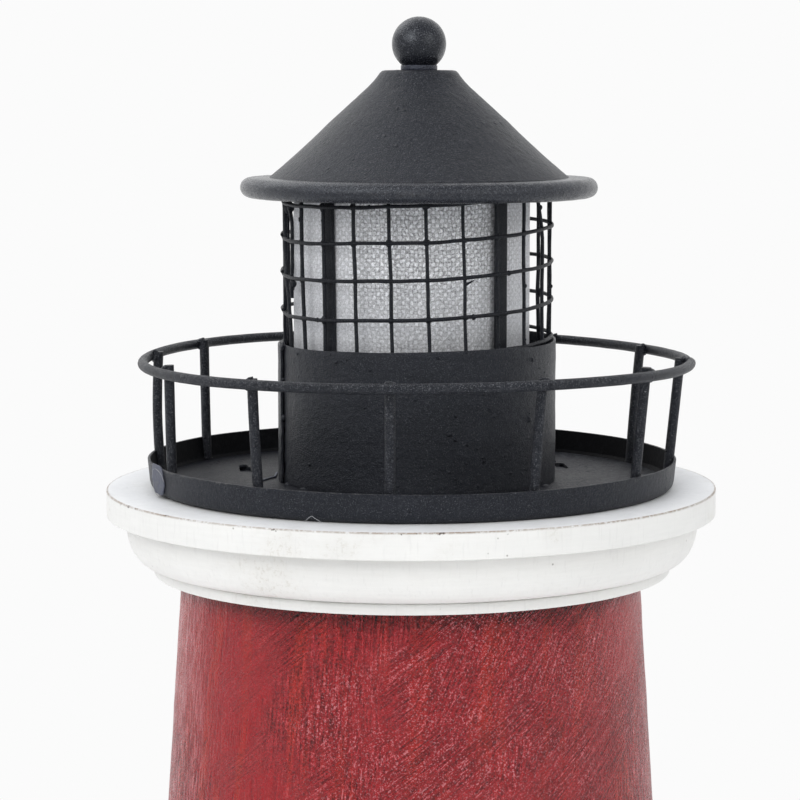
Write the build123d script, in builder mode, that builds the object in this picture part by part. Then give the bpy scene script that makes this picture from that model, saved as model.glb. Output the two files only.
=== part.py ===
from build123d import *

import os
from math import atan2, cos, degrees, hypot, pi, tan

# A table lighthouse: a white plinth, a red tapered tower, a white turned cornice, a black sheet
# gallery with a rod railing, and a wire-mesh lantern under a spun roof that lifts off.
# Millimetres. +Z is up, -Y is the front, and the origin is the middle of the plinth's underside.

# ---- driving dimensions -------------------------------------------------------------------

# Plinth and base moulding
plinth_radius = 122.0
plinth_height = 18.0
plinth_edge = 3.0
moulding_foot_radius = 116.0
moulding_height = 12.0
moulding_ledge = 2.4  # width of the moulding's top that shows round the tower's foot

# Tower
tower_height = 400.0
tower_foot_radius = 107.8
tower_top_radius = 81.2
tower_wall = 9.0
block_height = 18.0
block_gap = 0.2

# Cornice
board_height = 9.1
board_overhang = 6.5  # how far the board stands out past the ovolo
ovolo_swell = 7.9  # how far the ovolo swells from its lower edge
ovolo_drop = 3.0
ovolo_height = 13.2
ovolo_toe = 2.0  # how far the ovolo's lower edge stands out past the band
groove_height = 0.8
groove_depth = 1.0
band_radius = 91.1
band_height = 3.6

# Gallery tray, deck and railing
tray_foot_radius = 91.0
tray_rim_radius = 93.3
tray_height = 10.3
tray_sheet = 1.0
tray_corner = 2.6
deck_thickness = 1.2
deck_gap = 1.1
deck_chamfer = 1.0
slot_width = 4.2
slot_length = 15.0
slot_offset = 57.7
slot_back = 25.8
slot_aside = 2.8  # how far the pair of slots lies off the axis
slot_turn = 5.1
rod_diameter = 3.5
rail_radius = 96.1
rail_height = 42.2
baluster_count = 12
baluster_turn = -4.6
baluster_stub = 2.6
weld_gap = 0.05

# Lantern drum
drum_radius = 48.4
drum_sheet = 0.9
drum_height = 49.1
drum_lap_angle = 22.0
drum_lap_turn = -89.0

# Lantern cage: welded mesh on four flat posts
mesh_pitch = 12.7
mesh_hoop_count = 8
mesh_upright_count = 23
mesh_turn = 4.3
wire_diameter = 1.5
mesh_gap = 0.6
mesh_first_hoop = 11.3
mesh_top_stub = 2.6
mesh_headroom = 1.8  # from the uprights' tops to the roof's seat
post_width = 5.0
post_thickness = 1.5
post_bend = 1.6
post_count = 4

# Diffuser sleeve
sleeve_sheet = 0.6
sleeve_gap = 0.8  # between the sleeve's lap and the posts
sleeve_headroom = 3.4
sleeve_lap_angle = 9.0
sleeve_lap_turn = 78.0

# Roof
collar_sheet = 0.8
collar_gap = 0.3
collar_depth = 5.2
collar_seat = 7.2
brim_radius = 62.6
brim_bead = 3.45
brim_sheet = 0.9
brim_lap = 2.0  # how far the ledge lies over the collar's flange
cone_foot_radius = 52.6
cone_height = 37.3
cone_sheet = 1.0
cone_plate_radius = 12.6
cone_shoulder_spread = 2.6
cone_shoulder_height = 3.9
cone_shoulder_fillet = 1.4

# Finial
ball_radius = 9.5
neck_radius = 6.4
neck_height = 1.8
ball_flat_drop = 7.3  # from the ball's centre down to the flat that it sits on
stud_radius = 2.0
stud_hole_gap = 0.2
stud_depth = 9.0
stud_tail = 6.5
nut_flats = 7.0
nut_height = 3.2
washer_radius = 4.5
washer_height = 0.8

# Lamp inside the sleeve
lamp_wall = 1.3
lamp_edge = 1.0
lamp_gap = 1.4  # between the lamp and the post feet round it
lens_radius = 21.0
lens_flange = 2.0
lens_flange_height = 1.4
lens_rise = 8.0
lens_wall = 1.4
board_thickness = 1.6
cell_radius = 5.25
cell_length = 44.5
cell_pitch = 10.8
cell_count = 3
cell_edge = 0.5
cell_button_radius = 1.9
cell_button_height = 1.0
cell_gap = 0.25
cell_headroom = 1.1
door_height = 1.8
door_gap = 0.2
door_screw_inset = 3.7
door_boss_radius = 2.6
switch_travel = 3.0
switch_knob = 3.6
switch_knob_height = 2.6
switch_reach = 1.4
switch_plate = 8.0
switch_plate_height = 5.0
switch_plate_thickness = 1.2
switch_level = 8.0
switch_gap = 0.3

# Screws: (head radius, shank radius, length)
BASE_SCREW = (4.8, 2.5, 42.0)
CORNICE_SCREW = (4.4, 2.2, 42.0)
DECK_SCREW = (3.3, 1.7, 11.8)
DOOR_SCREW = (2.1, 1.0, 8.0)
screw_gap = 0.2
thread_gap = 0.02
base_screw_circle = 78.0
cornice_screw_circle = 58.0
deck_head_height = 2.2
deck_head_gap = 1.2  # between the screw heads and the sleeve
screw_count = 4

# ---- levels and radii that follow ---------------------------------------------------------

base_top = plinth_height + moulding_height
tower_top = base_top + tower_height
moulding_rise = ovolo_drop + ovolo_height + groove_height + band_height
board_bottom = tower_top + moulding_rise
cornice_top = board_bottom + board_height
deck_top = cornice_top + tray_sheet + deck_thickness
rail_level = deck_top + rail_height
mesh_height = mesh_first_hoop + (mesh_hoop_count - 1) * mesh_pitch + mesh_top_stub
roof_seat = deck_top + mesh_height + mesh_headroom

ovolo_radius = band_radius + ovolo_toe + ovolo_swell
board_radius = ovolo_radius + board_overhang

drum_inner = drum_radius - drum_sheet
hoop_outer = drum_inner - mesh_gap
hoop_axis = hoop_outer - wire_diameter / 2
upright_axis = hoop_axis - wire_diameter - weld_gap
post_face = upright_axis - wire_diameter / 2 - weld_gap
sleeve_radius = post_face - post_thickness - sleeve_gap - sleeve_sheet
deck_screw_circle = sleeve_radius - sleeve_sheet - DECK_SCREW[0] - deck_head_gap

ledge_bottom = roof_seat + collar_sheet
ledge_top = ledge_bottom + brim_sheet
plate_top = ledge_top + cone_height
ball_center = plate_top + neck_height + ball_flat_drop

lamp_floor = deck_top
lamp_inner = hypot(cell_length / 2, (cell_count - 1) / 2 * cell_pitch + cell_radius) + cell_gap
lamp_radius = lamp_inner + lamp_wall
lamp_height = (
    door_height + cell_gap + 2 * cell_radius + cell_headroom
    + board_thickness + lens_flange_height + lamp_wall
)
door_screw_offset = lamp_inner - door_screw_inset
post_foot_end = lamp_radius + lamp_gap
FRONT = -90.0  # polar angle of the front

os.makedirs("parts", exist_ok=True)


def finish(builder, label):
    """Label a finished sub-part and write its file."""
    builder.part.label = label
    export_step(builder.part, f"parts/{label}.step")


def countersunk_screw(size):
    """A wood screw with its flat head at the origin and its point along +Z."""
    head, shank, length = size
    with BuildPart() as screw:
        with BuildSketch(Plane.XZ):
            with BuildLine():
                Polyline(
                    (0, 0), (head, 0), (shank, head - shank), (shank, length - 2 * shank),
                    (0, length), close=True,
                )
            make_face()
        revolve(axis=Axis.Z)
    return screw.part


def pan_screw(size, head_height):
    """A screw whose domed head stands on the origin plane and whose point is along -Z."""
    head, shank, length = size
    with BuildPart() as screw:
        with BuildSketch(Plane.XZ):
            with BuildLine():
                Polyline((0, head_height), (0, -length), (shank, -length + 2 * shank), (shank, 0), (head, 0))
                RadiusArc((head, 0), (0, head_height), -(head**2 + head_height**2) / (2 * head_height))
            make_face()
        revolve(axis=Axis.Z)
    return screw.part


# ---- plinth and base moulding -------------------------------------------------------------

with BuildPart() as plinth:
    with BuildSketch(Plane.XZ):
        with BuildLine():
            edge = plinth_radius - plinth_edge
            edge_level = plinth_height - plinth_edge
            Polyline((0, plinth_height), (0, 0), (plinth_radius, 0), (plinth_radius, edge_level))
            CenterArc((edge, edge_level), plinth_edge, 0, 90)
            Line((edge, plinth_height), (0, plinth_height))
        make_face()
    revolve(axis=Axis.Z)
    with Locations(Plane((0, 0, 0), z_dir=(0, 0, -1))):
        with PolarLocations(base_screw_circle, screw_count, start_angle=45):
            CounterSinkHole(BASE_SCREW[1] + screw_gap, BASE_SCREW[0] + screw_gap, counter_sink_angle=90)
finish(plinth, "plinth")

with BuildPart() as base_moulding:
    with BuildSketch(Plane.XZ):
        with BuildLine():
            shelf = tower_foot_radius + moulding_ledge
            flare = moulding_foot_radius - shelf
            Polyline((0, base_top), (0, plinth_height), (moulding_foot_radius, plinth_height))
            Line((moulding_foot_radius, plinth_height), (moulding_foot_radius, base_top - flare))
            CenterArc((shelf, base_top - flare), flare, 0, 90)
            Line((shelf, base_top), (0, base_top))
        make_face()
    revolve(axis=Axis.Z)
    with Locations((0, 0, base_top)):
        with PolarLocations(base_screw_circle, screw_count, start_angle=45):
            Hole(BASE_SCREW[1] + screw_gap)
finish(base_moulding, "base_moulding")

# ---- tower --------------------------------------------------------------------------------


def tower_radius(level):
    """Outside radius of the tower at a height above the table."""
    share = (level - base_top) / tower_height
    return tower_foot_radius + (tower_top_radius - tower_foot_radius) * share


with BuildPart() as tower_shell:
    with BuildSketch(Plane.XZ):
        with BuildLine():
            Polyline(
                (tower_foot_radius - tower_wall, base_top),
                (tower_foot_radius, base_top),
                (tower_top_radius, tower_top),
                (tower_top_radius - tower_wall, tower_top),
                close=True,
            )
        make_face()
    revolve(axis=Axis.Z)
finish(tower_shell, "tower_shell")


def tower_block(low, screw, circle, from_top):
    """A wooden disc that fills the tower's bore at one end and takes the screws."""
    high = low + block_height
    inset = tower_wall + block_gap
    _, shank, length = screw
    with BuildPart() as block:
        with BuildSketch(Plane.XZ):
            with BuildLine():
                Polyline(
                    (0, low), (tower_radius(low) - inset, low), (tower_radius(high) - inset, high),
                    (0, high), close=True,
                )
            make_face()
        revolve(axis=Axis.Z)
        with Locations((0, 0, high if from_top else low)):
            with PolarLocations(circle, screw_count, start_angle=45):
                depth = length - (moulding_rise + board_height if from_top else base_top) + screw_gap
                where = Align.MAX if from_top else Align.MIN
                Cylinder(
                    shank + thread_gap, depth, align=(Align.CENTER, Align.CENTER, where), mode=Mode.SUBTRACT
                )
    return block


tower_foot_block = tower_block(base_top, BASE_SCREW, base_screw_circle, False)
finish(tower_foot_block, "tower_foot_block")
tower_top_block = tower_block(tower_top - block_height, CORNICE_SCREW, cornice_screw_circle, True)
finish(tower_top_block, "tower_top_block")

base_screw = countersunk_screw(BASE_SCREW)
with BuildPart() as base_screws:
    with PolarLocations(base_screw_circle, screw_count, start_angle=45):
        add(base_screw)
finish(base_screws, "base_screws")

# ---- cornice ------------------------------------------------------------------------------

with BuildPart() as cornice_moulding:
    with BuildSketch(Plane.XZ):
        with BuildLine():
            toe = band_radius + ovolo_toe
            bulge = board_bottom - ovolo_drop
            toe_level = bulge - ovolo_height
            band_top = tower_top + band_height
            Polyline((0, board_bottom), (0, tower_top), (band_radius, tower_top), (band_radius, band_top))
            Polyline(
                (band_radius, band_top), (band_radius - groove_depth, band_top),
                (band_radius - groove_depth, toe_level), (toe, toe_level),
            )
            EllipticalCenterArc((toe, bulge), ovolo_radius - toe, ovolo_height, start_angle=-90, arc_size=90)
            Polyline((ovolo_radius, bulge), (ovolo_radius, board_bottom), (0, board_bottom))
        make_face()
    revolve(axis=Axis.Z)
    with Locations((0, 0, board_bottom)):
        with PolarLocations(cornice_screw_circle, screw_count, start_angle=45):
            Hole(CORNICE_SCREW[1] + screw_gap)
finish(cornice_moulding, "cornice_moulding")

with BuildPart() as cornice_board:
    with BuildSketch(Plane.XY.offset(board_bottom)):
        Circle(board_radius)
    extrude(amount=board_height)
    with Locations((0, 0, cornice_top)):
        with PolarLocations(cornice_screw_circle, screw_count, start_angle=45):
            CounterSinkHole(CORNICE_SCREW[1] + screw_gap, CORNICE_SCREW[0] + screw_gap, counter_sink_angle=90)
        with PolarLocations(deck_screw_circle, post_count, start_angle=45):
            Cylinder(
                DECK_SCREW[1] + thread_gap, DECK_SCREW[2],
                align=(Align.CENTER, Align.CENTER, Align.MAX), mode=Mode.SUBTRACT,
            )
finish(cornice_board, "cornice_board")

cornice_screw = countersunk_screw(CORNICE_SCREW)
with BuildPart() as cornice_screws:
    with Locations(Plane((0, 0, cornice_top), z_dir=(0, 0, -1))):
        with PolarLocations(cornice_screw_circle, screw_count, start_angle=45):
            add(cornice_screw)
finish(cornice_screws, "cornice_screws")

# ---- gallery ------------------------------------------------------------------------------

with BuildPart() as gallery_tray:
    with BuildSketch(Plane.XZ):
        with BuildLine():
            tray_rim = cornice_top + tray_height
            Polyline((0, cornice_top), (tray_foot_radius, cornice_top), (tray_rim_radius, tray_rim))
            fillet(vertices().sort_by(Axis.X)[1], tray_corner)
            offset(amount=tray_sheet, side=Side.LEFT)
        make_face()
    revolve(axis=Axis.Z)
    split(bisect_by=Plane.XY.offset(tray_rim), keep=Keep.BOTTOM)
    with Locations((0, 0, cornice_top + tray_sheet)):
        with PolarLocations(deck_screw_circle, post_count, start_angle=45):
            Hole(DECK_SCREW[1] + screw_gap)
finish(gallery_tray, "gallery_tray")

tray_lean = (tray_rim_radius - tray_foot_radius) / tray_height
tray_inner_at_deck = (
    tray_foot_radius + tray_lean * (deck_top - cornice_top) - tray_sheet * hypot(1, tray_lean)
)
deck_radius = tray_inner_at_deck - deck_gap

with BuildPart() as gallery_deck:
    with BuildSketch(Plane.XY.offset(cornice_top + tray_sheet)):
        Circle(deck_radius)
        with Locations(Location((-slot_aside, slot_back), slot_turn)):
            with Locations((slot_offset, 0), (-slot_offset, 0)):
                SlotOverall(slot_length, slot_width, rotation=90, mode=Mode.SUBTRACT)
        with PolarLocations(deck_screw_circle, post_count, start_angle=45):
            Circle(DECK_SCREW[1] + screw_gap, mode=Mode.SUBTRACT)
    extrude(amount=deck_thickness)
    rim = gallery_deck.edges().filter_by(GeomType.CIRCLE).sort_by(SortBy.RADIUS)[-2:].sort_by(Axis.Z)[0]
    chamfer(rim, deck_chamfer)
finish(gallery_deck, "gallery_deck")

with BuildPart() as rail_ring:
    with Locations((0, 0, rail_level)):
        Torus(rail_radius, rod_diameter / 2)
finish(rail_ring, "rail_ring")

baluster_foot = tray_inner_at_deck - rod_diameter / 2 - weld_gap
baluster_head = rail_radius - rod_diameter - weld_gap
baluster_lean = degrees(atan2(baluster_head - baluster_foot, rail_height))

with BuildPart() as baluster:
    with BuildSketch(Plane((baluster_foot, 0, deck_top)).rotated((0, baluster_lean, 0))):
        Circle(rod_diameter / 2)
    extrude(amount=rail_height + baluster_stub)
    extrude(to_extrude=faces().sort_by(Axis.Z)[0], amount=rod_diameter)
    split(bisect_by=Plane.XY.offset(deck_top), keep=Keep.TOP)

for number in range(baluster_count):
    turn = FRONT + baluster_turn + number * 360 / baluster_count
    with BuildPart() as placed_baluster:
        with PolarLocations(0, 1, start_angle=turn):
            add(baluster.part)
    finish(placed_baluster, f"baluster_{number + 1:02d}")

# ---- lantern drum -------------------------------------------------------------------------


def rolled_sleeve(radius, sheet, height, lap_angle, lap_turn):
    """A sheet rolled into a tube, its outer end lapped over its inner end."""
    start = FRONT + lap_turn - lap_angle / 2
    end = start + lap_angle
    with BuildPart() as sleeve:
        with BuildSketch(Plane.XY.offset(height[0])):
            Circle(radius)
            with BuildLine():
                lap_in = CenterArc((0, 0), radius - sheet / 2, start, lap_angle)
                lap_out = CenterArc((0, 0), radius + sheet, start, lap_angle)
                Line(lap_in @ 0, lap_out @ 0)
                Line(lap_in @ 1, lap_out @ 1)
            make_face()
            Circle(radius - sheet, mode=Mode.SUBTRACT)
        extrude(amount=height[1] - height[0])
    return sleeve


drum_span = (deck_top, deck_top + drum_height)
lantern_drum = rolled_sleeve(drum_radius, drum_sheet, drum_span, drum_lap_angle, drum_lap_turn)
finish(lantern_drum, "lantern_drum")

# ---- lantern cage -------------------------------------------------------------------------

half_step = pi / mesh_upright_count

with BuildPart() as hoop_side:
    with BuildSketch(Plane((hoop_axis * cos(half_step), 0, 0), z_dir=(0, 1, 0))):
        Circle(wire_diameter / 2)
    extrude(amount=mesh_pitch, both=True)
    with BuildSketch(Plane.XY.offset(-wire_diameter)):
        with BuildLine():
            Polyline(
                (0, 0), (drum_radius, drum_radius * tan(half_step)),
                (drum_radius, -drum_radius * tan(half_step)), close=True,
            )
        make_face()
    extrude(amount=2 * wire_diameter, mode=Mode.INTERSECT)

with BuildPart() as hoop:
    with PolarLocations(0, mesh_upright_count, start_angle=FRONT + mesh_turn + degrees(half_step)):
        add(hoop_side.part)

with BuildPart() as mesh_hoops:
    hoop_levels = [deck_top + mesh_first_hoop + step * mesh_pitch for step in range(mesh_hoop_count)]
    with Locations(*[(0, 0, level) for level in hoop_levels]):
        add(hoop.part)
finish(mesh_hoops, "mesh_hoops")

with BuildPart() as mesh_uprights:
    with BuildSketch(Plane.XY.offset(deck_top)):
        with PolarLocations(upright_axis, mesh_upright_count, start_angle=FRONT + mesh_turn):
            Circle(wire_diameter / 2)
    extrude(amount=mesh_height)
finish(mesh_uprights, "mesh_uprights")

with BuildPart() as post:
    with BuildSketch(Plane.XZ) as post_side:
        with BuildLine():
            Polyline((post_foot_end, deck_top), (post_face, deck_top), (post_face, roof_seat))
            fillet(vertices().sort_by(Axis.X)[-2:].sort_by(Axis.Z)[0], post_bend)
            offset(amount=post_thickness, side=Side.LEFT)
        make_face()
    extrude(amount=post_width / 2, both=True)
    with Locations((deck_screw_circle, 0, deck_top + post_thickness)):
        Hole(DECK_SCREW[1] + screw_gap, depth=2 * post_thickness)

for number in range(post_count):
    with BuildPart() as placed_post:
        with PolarLocations(0, 1, start_angle=45 + number * 360 / post_count):
            add(post.part)
    finish(placed_post, f"cage_post_{number + 1}")

deck_screw = pan_screw(DECK_SCREW, deck_head_height)
with BuildPart() as deck_screws:
    with Locations((0, 0, deck_top + post_thickness)):
        with PolarLocations(deck_screw_circle, post_count, start_angle=45):
            add(deck_screw)
finish(deck_screws, "deck_screws")

# ---- diffuser sleeve ----------------------------------------------------------------------

sleeve_foot = deck_top + post_thickness
sleeve_span = (sleeve_foot, roof_seat - sleeve_headroom)
diffuser_sleeve = rolled_sleeve(sleeve_radius, sleeve_sheet, sleeve_span, sleeve_lap_angle, sleeve_lap_turn)
finish(diffuser_sleeve, "diffuser_sleeve")

# ---- roof ---------------------------------------------------------------------------------

collar_inner = hoop_outer + collar_gap
collar_outer = collar_inner + collar_sheet

with BuildPart() as roof_collar:
    with BuildSketch(Plane.XZ):
        with BuildLine():
            Polyline(
                (collar_inner, roof_seat - collar_depth),
                (collar_outer, roof_seat - collar_depth),
                (collar_outer, ledge_bottom),
                (collar_inner - collar_seat, ledge_bottom),
                (collar_inner - collar_seat, roof_seat),
                (collar_inner, roof_seat),
                close=True,
            )
        make_face()
    revolve(axis=Axis.Z)
finish(roof_collar, "roof_collar")

with BuildPart() as roof_brim:
    with BuildSketch(Plane.XZ):
        with BuildLine():
            bead = (brim_radius - brim_bead, ledge_top - brim_bead)
            inner_bead = brim_bead - brim_sheet
            outside = CenterArc(bead, brim_bead, 90, -270)
            inside = CenterArc(bead, inner_bead, 90, -270)
            Line(outside @ 1, inside @ 1)
            Polyline(
                outside @ 0, (collar_outer - brim_lap, ledge_top), (collar_outer - brim_lap, ledge_bottom),
                inside @ 0,
            )
        make_face()
    revolve(axis=Axis.Z)
finish(roof_brim, "roof_brim")

with BuildPart() as roof_cone:
    with BuildSketch(Plane.XZ):
        with BuildLine():
            Polyline(
                (0, plate_top),
                (cone_plate_radius, plate_top),
                (cone_plate_radius + cone_shoulder_spread, plate_top - cone_shoulder_height),
                (cone_foot_radius, ledge_top),
            )
            fillet(vertices().sort_by(Axis.X)[1], cone_shoulder_fillet)
            offset(amount=cone_sheet, side=Side.RIGHT)
        make_face()
    revolve(axis=Axis.Z)
    with BuildSketch(Plane.XY.offset(ledge_top)):
        Circle(brim_radius)
    extrude(amount=cone_height + cone_sheet, mode=Mode.INTERSECT)
    with Locations((0, 0, plate_top)):
        Hole(stud_radius + stud_hole_gap)
finish(roof_cone, "roof_cone")

# ---- finial -------------------------------------------------------------------------------

with BuildPart() as finial_neck:
    with BuildSketch(Plane.XY.offset(plate_top)):
        Circle(neck_radius)
        Circle(stud_radius + stud_hole_gap, mode=Mode.SUBTRACT)
    extrude(amount=neck_height)
finish(finial_neck, "finial_neck")

ball_flat = plate_top + neck_height

with BuildPart() as finial_ball:
    with Locations((0, 0, ball_center)):
        Sphere(ball_radius)
    split(bisect_by=Plane.XY.offset(ball_flat), keep=Keep.TOP)
    with Locations((0, 0, ball_flat)):
        Cylinder(
            stud_radius + thread_gap, stud_depth + screw_gap,
            align=(Align.CENTER, Align.CENTER, Align.MIN), mode=Mode.SUBTRACT,
        )
finish(finial_ball, "finial_ball")

washer_bottom = plate_top - cone_sheet - washer_height

with BuildPart() as finial_stud:
    with BuildSketch(Plane.XY.offset(washer_bottom - stud_tail)):
        Circle(stud_radius)
    extrude(amount=ball_flat + stud_depth - washer_bottom + stud_tail)
finish(finial_stud, "finial_stud")

with BuildPart() as finial_washer:
    with BuildSketch(Plane.XY.offset(washer_bottom)):
        Circle(washer_radius)
        Circle(stud_radius + stud_hole_gap, mode=Mode.SUBTRACT)
    extrude(amount=washer_height)
finish(finial_washer, "finial_washer")

with BuildPart() as finial_nut:
    with BuildSketch(Plane.XY.offset(washer_bottom - nut_height)):
        RegularPolygon(nut_flats / 2, 6, major_radius=False)
        Circle(stud_radius + thread_gap, mode=Mode.SUBTRACT)
    extrude(amount=nut_height)
finish(finial_nut, "finial_nut")

# ---- lamp ---------------------------------------------------------------------------------

lamp_top = lamp_floor + lamp_height
lamp_ceiling = lamp_top - lamp_wall
flange_bottom = lamp_ceiling - lens_flange_height
lamp_board_bottom = flange_bottom - board_thickness
switch_z = lamp_floor + switch_level
slot_half = (switch_travel + switch_knob) / 2 + switch_gap

with BuildPart() as lamp_housing:
    with BuildSketch(Plane.XY.offset(lamp_floor)):
        Circle(lamp_radius)
    extrude(amount=lamp_height)
    fillet(lamp_housing.edges().group_by(Axis.Z)[-1], lamp_edge)
    with BuildSketch(Plane.XY.offset(lamp_floor)):
        Circle(lamp_inner)
    extrude(amount=lamp_height - lamp_wall, mode=Mode.SUBTRACT)
    with BuildSketch(Plane.XY.offset(lamp_ceiling)):
        Circle(lens_radius + screw_gap)
    extrude(amount=lamp_wall, mode=Mode.SUBTRACT)
    with BuildSketch(Plane.XY.offset(lamp_floor + door_height)):
        with Locations((door_screw_offset, 0), (-door_screw_offset, 0)):
            Circle(door_boss_radius)
        rib = lamp_inner + lamp_wall / 2 - door_screw_offset
        with Locations((door_screw_offset + rib / 2, 0), (-door_screw_offset - rib / 2, 0)):
            Rectangle(rib, door_boss_radius)
        with Locations((door_screw_offset, 0), (-door_screw_offset, 0)):
            Circle(DOOR_SCREW[1] + thread_gap, mode=Mode.SUBTRACT)
    extrude(amount=lamp_board_bottom - lamp_floor - door_height - door_gap)
    with BuildSketch(Plane((0, -lamp_inner + lamp_wall, switch_z), x_dir=(1, 0, 0), z_dir=(0, -1, 0))):
        Rectangle(2 * slot_half, switch_knob_height + 2 * switch_gap)
    extrude(amount=3 * lamp_wall, mode=Mode.SUBTRACT)
finish(lamp_housing, "lamp_housing")

lens_sphere = (lens_radius**2 + lens_rise**2) / (2 * lens_rise)
lens_bore = ((lens_sphere - lens_wall) ** 2 - (lens_sphere - lens_rise) ** 2) ** 0.5

with BuildPart() as lamp_lens:
    with BuildSketch(Plane.XZ):
        with BuildLine():
            crown = lamp_ceiling + lens_rise
            RadiusArc((lens_radius, lamp_ceiling), (0, crown), -lens_sphere)
            RadiusArc((lens_bore, lamp_ceiling), (0, crown - lens_wall), lens_wall - lens_sphere)
            Line((0, crown - lens_wall), (0, crown))
            Polyline(
                (lens_radius, lamp_ceiling), (lens_radius + lens_flange, lamp_ceiling),
                (lens_radius + lens_flange, flange_bottom), (lens_bore, flange_bottom),
                (lens_bore, lamp_ceiling),
            )
        make_face()
    revolve(axis=Axis.Z)
finish(lamp_lens, "lamp_lens")

with BuildPart() as lamp_board:
    with BuildSketch(Plane.XY.offset(lamp_board_bottom)):
        Circle(lamp_inner - door_gap)
    extrude(amount=board_thickness)
finish(lamp_board, "lamp_board")

cell_axis = lamp_floor + door_height + cell_gap + cell_radius
for number in range(cell_count):
    cell_x = (number - (cell_count - 1) / 2) * cell_pitch
    with BuildPart() as cell:
        with BuildSketch(Plane((cell_x, cell_length / 2, cell_axis), z_dir=(0, -1, 0))):
            Circle(cell_radius)
        extrude(amount=cell_length - cell_button_height)
        chamfer(cell.edges().sort_by(Axis.Y)[0], cell_edge)
        with BuildSketch(Plane((cell_x, cell_button_height - cell_length / 2, cell_axis), z_dir=(0, -1, 0))):
            Circle(cell_button_radius)
        extrude(amount=cell_button_height)
    finish(cell, f"lamp_cell_{number + 1}")

with BuildPart() as lamp_door:
    with BuildSketch(Plane.XY.offset(lamp_floor)):
        Circle(lamp_inner - door_gap)
    extrude(amount=door_height)
    with Locations(Plane((0, 0, lamp_floor), z_dir=(0, 0, -1))):
        with Locations((door_screw_offset, 0), (-door_screw_offset, 0)):
            CounterSinkHole(DOOR_SCREW[1] + screw_gap, DOOR_SCREW[0] + screw_gap, counter_sink_angle=90)
finish(lamp_door, "lamp_door")

door_screw = countersunk_screw(DOOR_SCREW)
with BuildPart() as lamp_door_screws:
    with Locations((door_screw_offset, 0, lamp_floor), (-door_screw_offset, 0, lamp_floor)):
        add(door_screw)
finish(lamp_door_screws, "lamp_door_screws")

with BuildPart() as lamp_switch:
    plate_reach = (switch_plate + switch_travel) / 2
    plate_face = (lamp_inner**2 - plate_reach**2) ** 0.5 - switch_gap
    knob_x = -switch_travel / 2
    with BuildSketch(Plane((knob_x, -plate_face, switch_z), x_dir=(1, 0, 0), z_dir=(0, 1, 0))):
        Rectangle(switch_plate, switch_plate_height)
    extrude(amount=switch_plate_thickness)
    with BuildSketch(Plane((knob_x, -plate_face, switch_z), x_dir=(1, 0, 0), z_dir=(0, -1, 0))):
        Rectangle(switch_knob, switch_knob_height)
    extrude(amount=lamp_radius + switch_reach - plate_face)
finish(lamp_switch, "lamp_switch")
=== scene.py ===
"""Finishes a table lighthouse: turned wood under brushed paint, welded black iron, and a wire-mesh lantern."""

import random
from functools import partial, reduce
from math import atan2, cos, exp, hypot, pi, radians, sin

import bpy
from bpy.props import FloatProperty, FloatVectorProperty, IntProperty
from mathutils import Matrix, Vector, noise


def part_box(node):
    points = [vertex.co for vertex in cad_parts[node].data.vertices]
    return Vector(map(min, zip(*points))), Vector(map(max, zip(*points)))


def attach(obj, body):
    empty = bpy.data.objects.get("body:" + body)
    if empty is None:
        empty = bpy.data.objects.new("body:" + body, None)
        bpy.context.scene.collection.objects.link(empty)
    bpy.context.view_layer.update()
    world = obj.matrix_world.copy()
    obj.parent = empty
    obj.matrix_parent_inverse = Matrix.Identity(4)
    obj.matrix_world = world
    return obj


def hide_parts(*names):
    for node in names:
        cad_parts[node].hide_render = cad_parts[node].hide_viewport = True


bl_info = {
    "name": "Table lighthouse",
    "version": (1, 0, 0),
    "blender": (4, 5, 0),
    "location": "3D View > Sidebar > Lighthouse",
    "description": "Turns, rolls, welds and paints the pieces of a table lighthouse over its solid model",
    "category": "Object",
}

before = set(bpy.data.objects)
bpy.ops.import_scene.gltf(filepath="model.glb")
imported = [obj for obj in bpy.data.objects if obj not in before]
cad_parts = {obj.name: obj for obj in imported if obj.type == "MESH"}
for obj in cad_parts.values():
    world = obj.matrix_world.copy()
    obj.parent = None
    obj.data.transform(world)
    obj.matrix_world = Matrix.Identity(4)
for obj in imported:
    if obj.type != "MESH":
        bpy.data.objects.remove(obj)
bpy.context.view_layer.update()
MM = 0.001
UP = Vector((0, 0, 1))


def foot(node):
    """Lowest level of a solid."""
    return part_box(node)[0][2]


def top(node):
    """Highest level of a solid."""
    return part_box(node)[1][2]


def reach(node):
    """Outside radius of a round solid on the axis."""
    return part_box(node)[1][0]


# ---- sizes and colours ----------------------------------------------------------------------


def length(name, description, default):
    """A length property in metres."""
    return FloatProperty(name=name, description=description, default=default, unit="LENGTH", precision=5)


def amount(name, description, default):
    """A plain number property."""
    return FloatProperty(name=name, description=description, default=default)


def turning(name, description, degrees):
    """An angle property, given in degrees."""
    return FloatProperty(name=name, description=description, default=radians(degrees), subtype="ANGLE")


def colour(name, description, default):
    """A linear colour property."""
    return FloatVectorProperty(
        name=name, description=description, default=default, subtype="COLOR", size=3, min=0, max=1
    )


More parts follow.
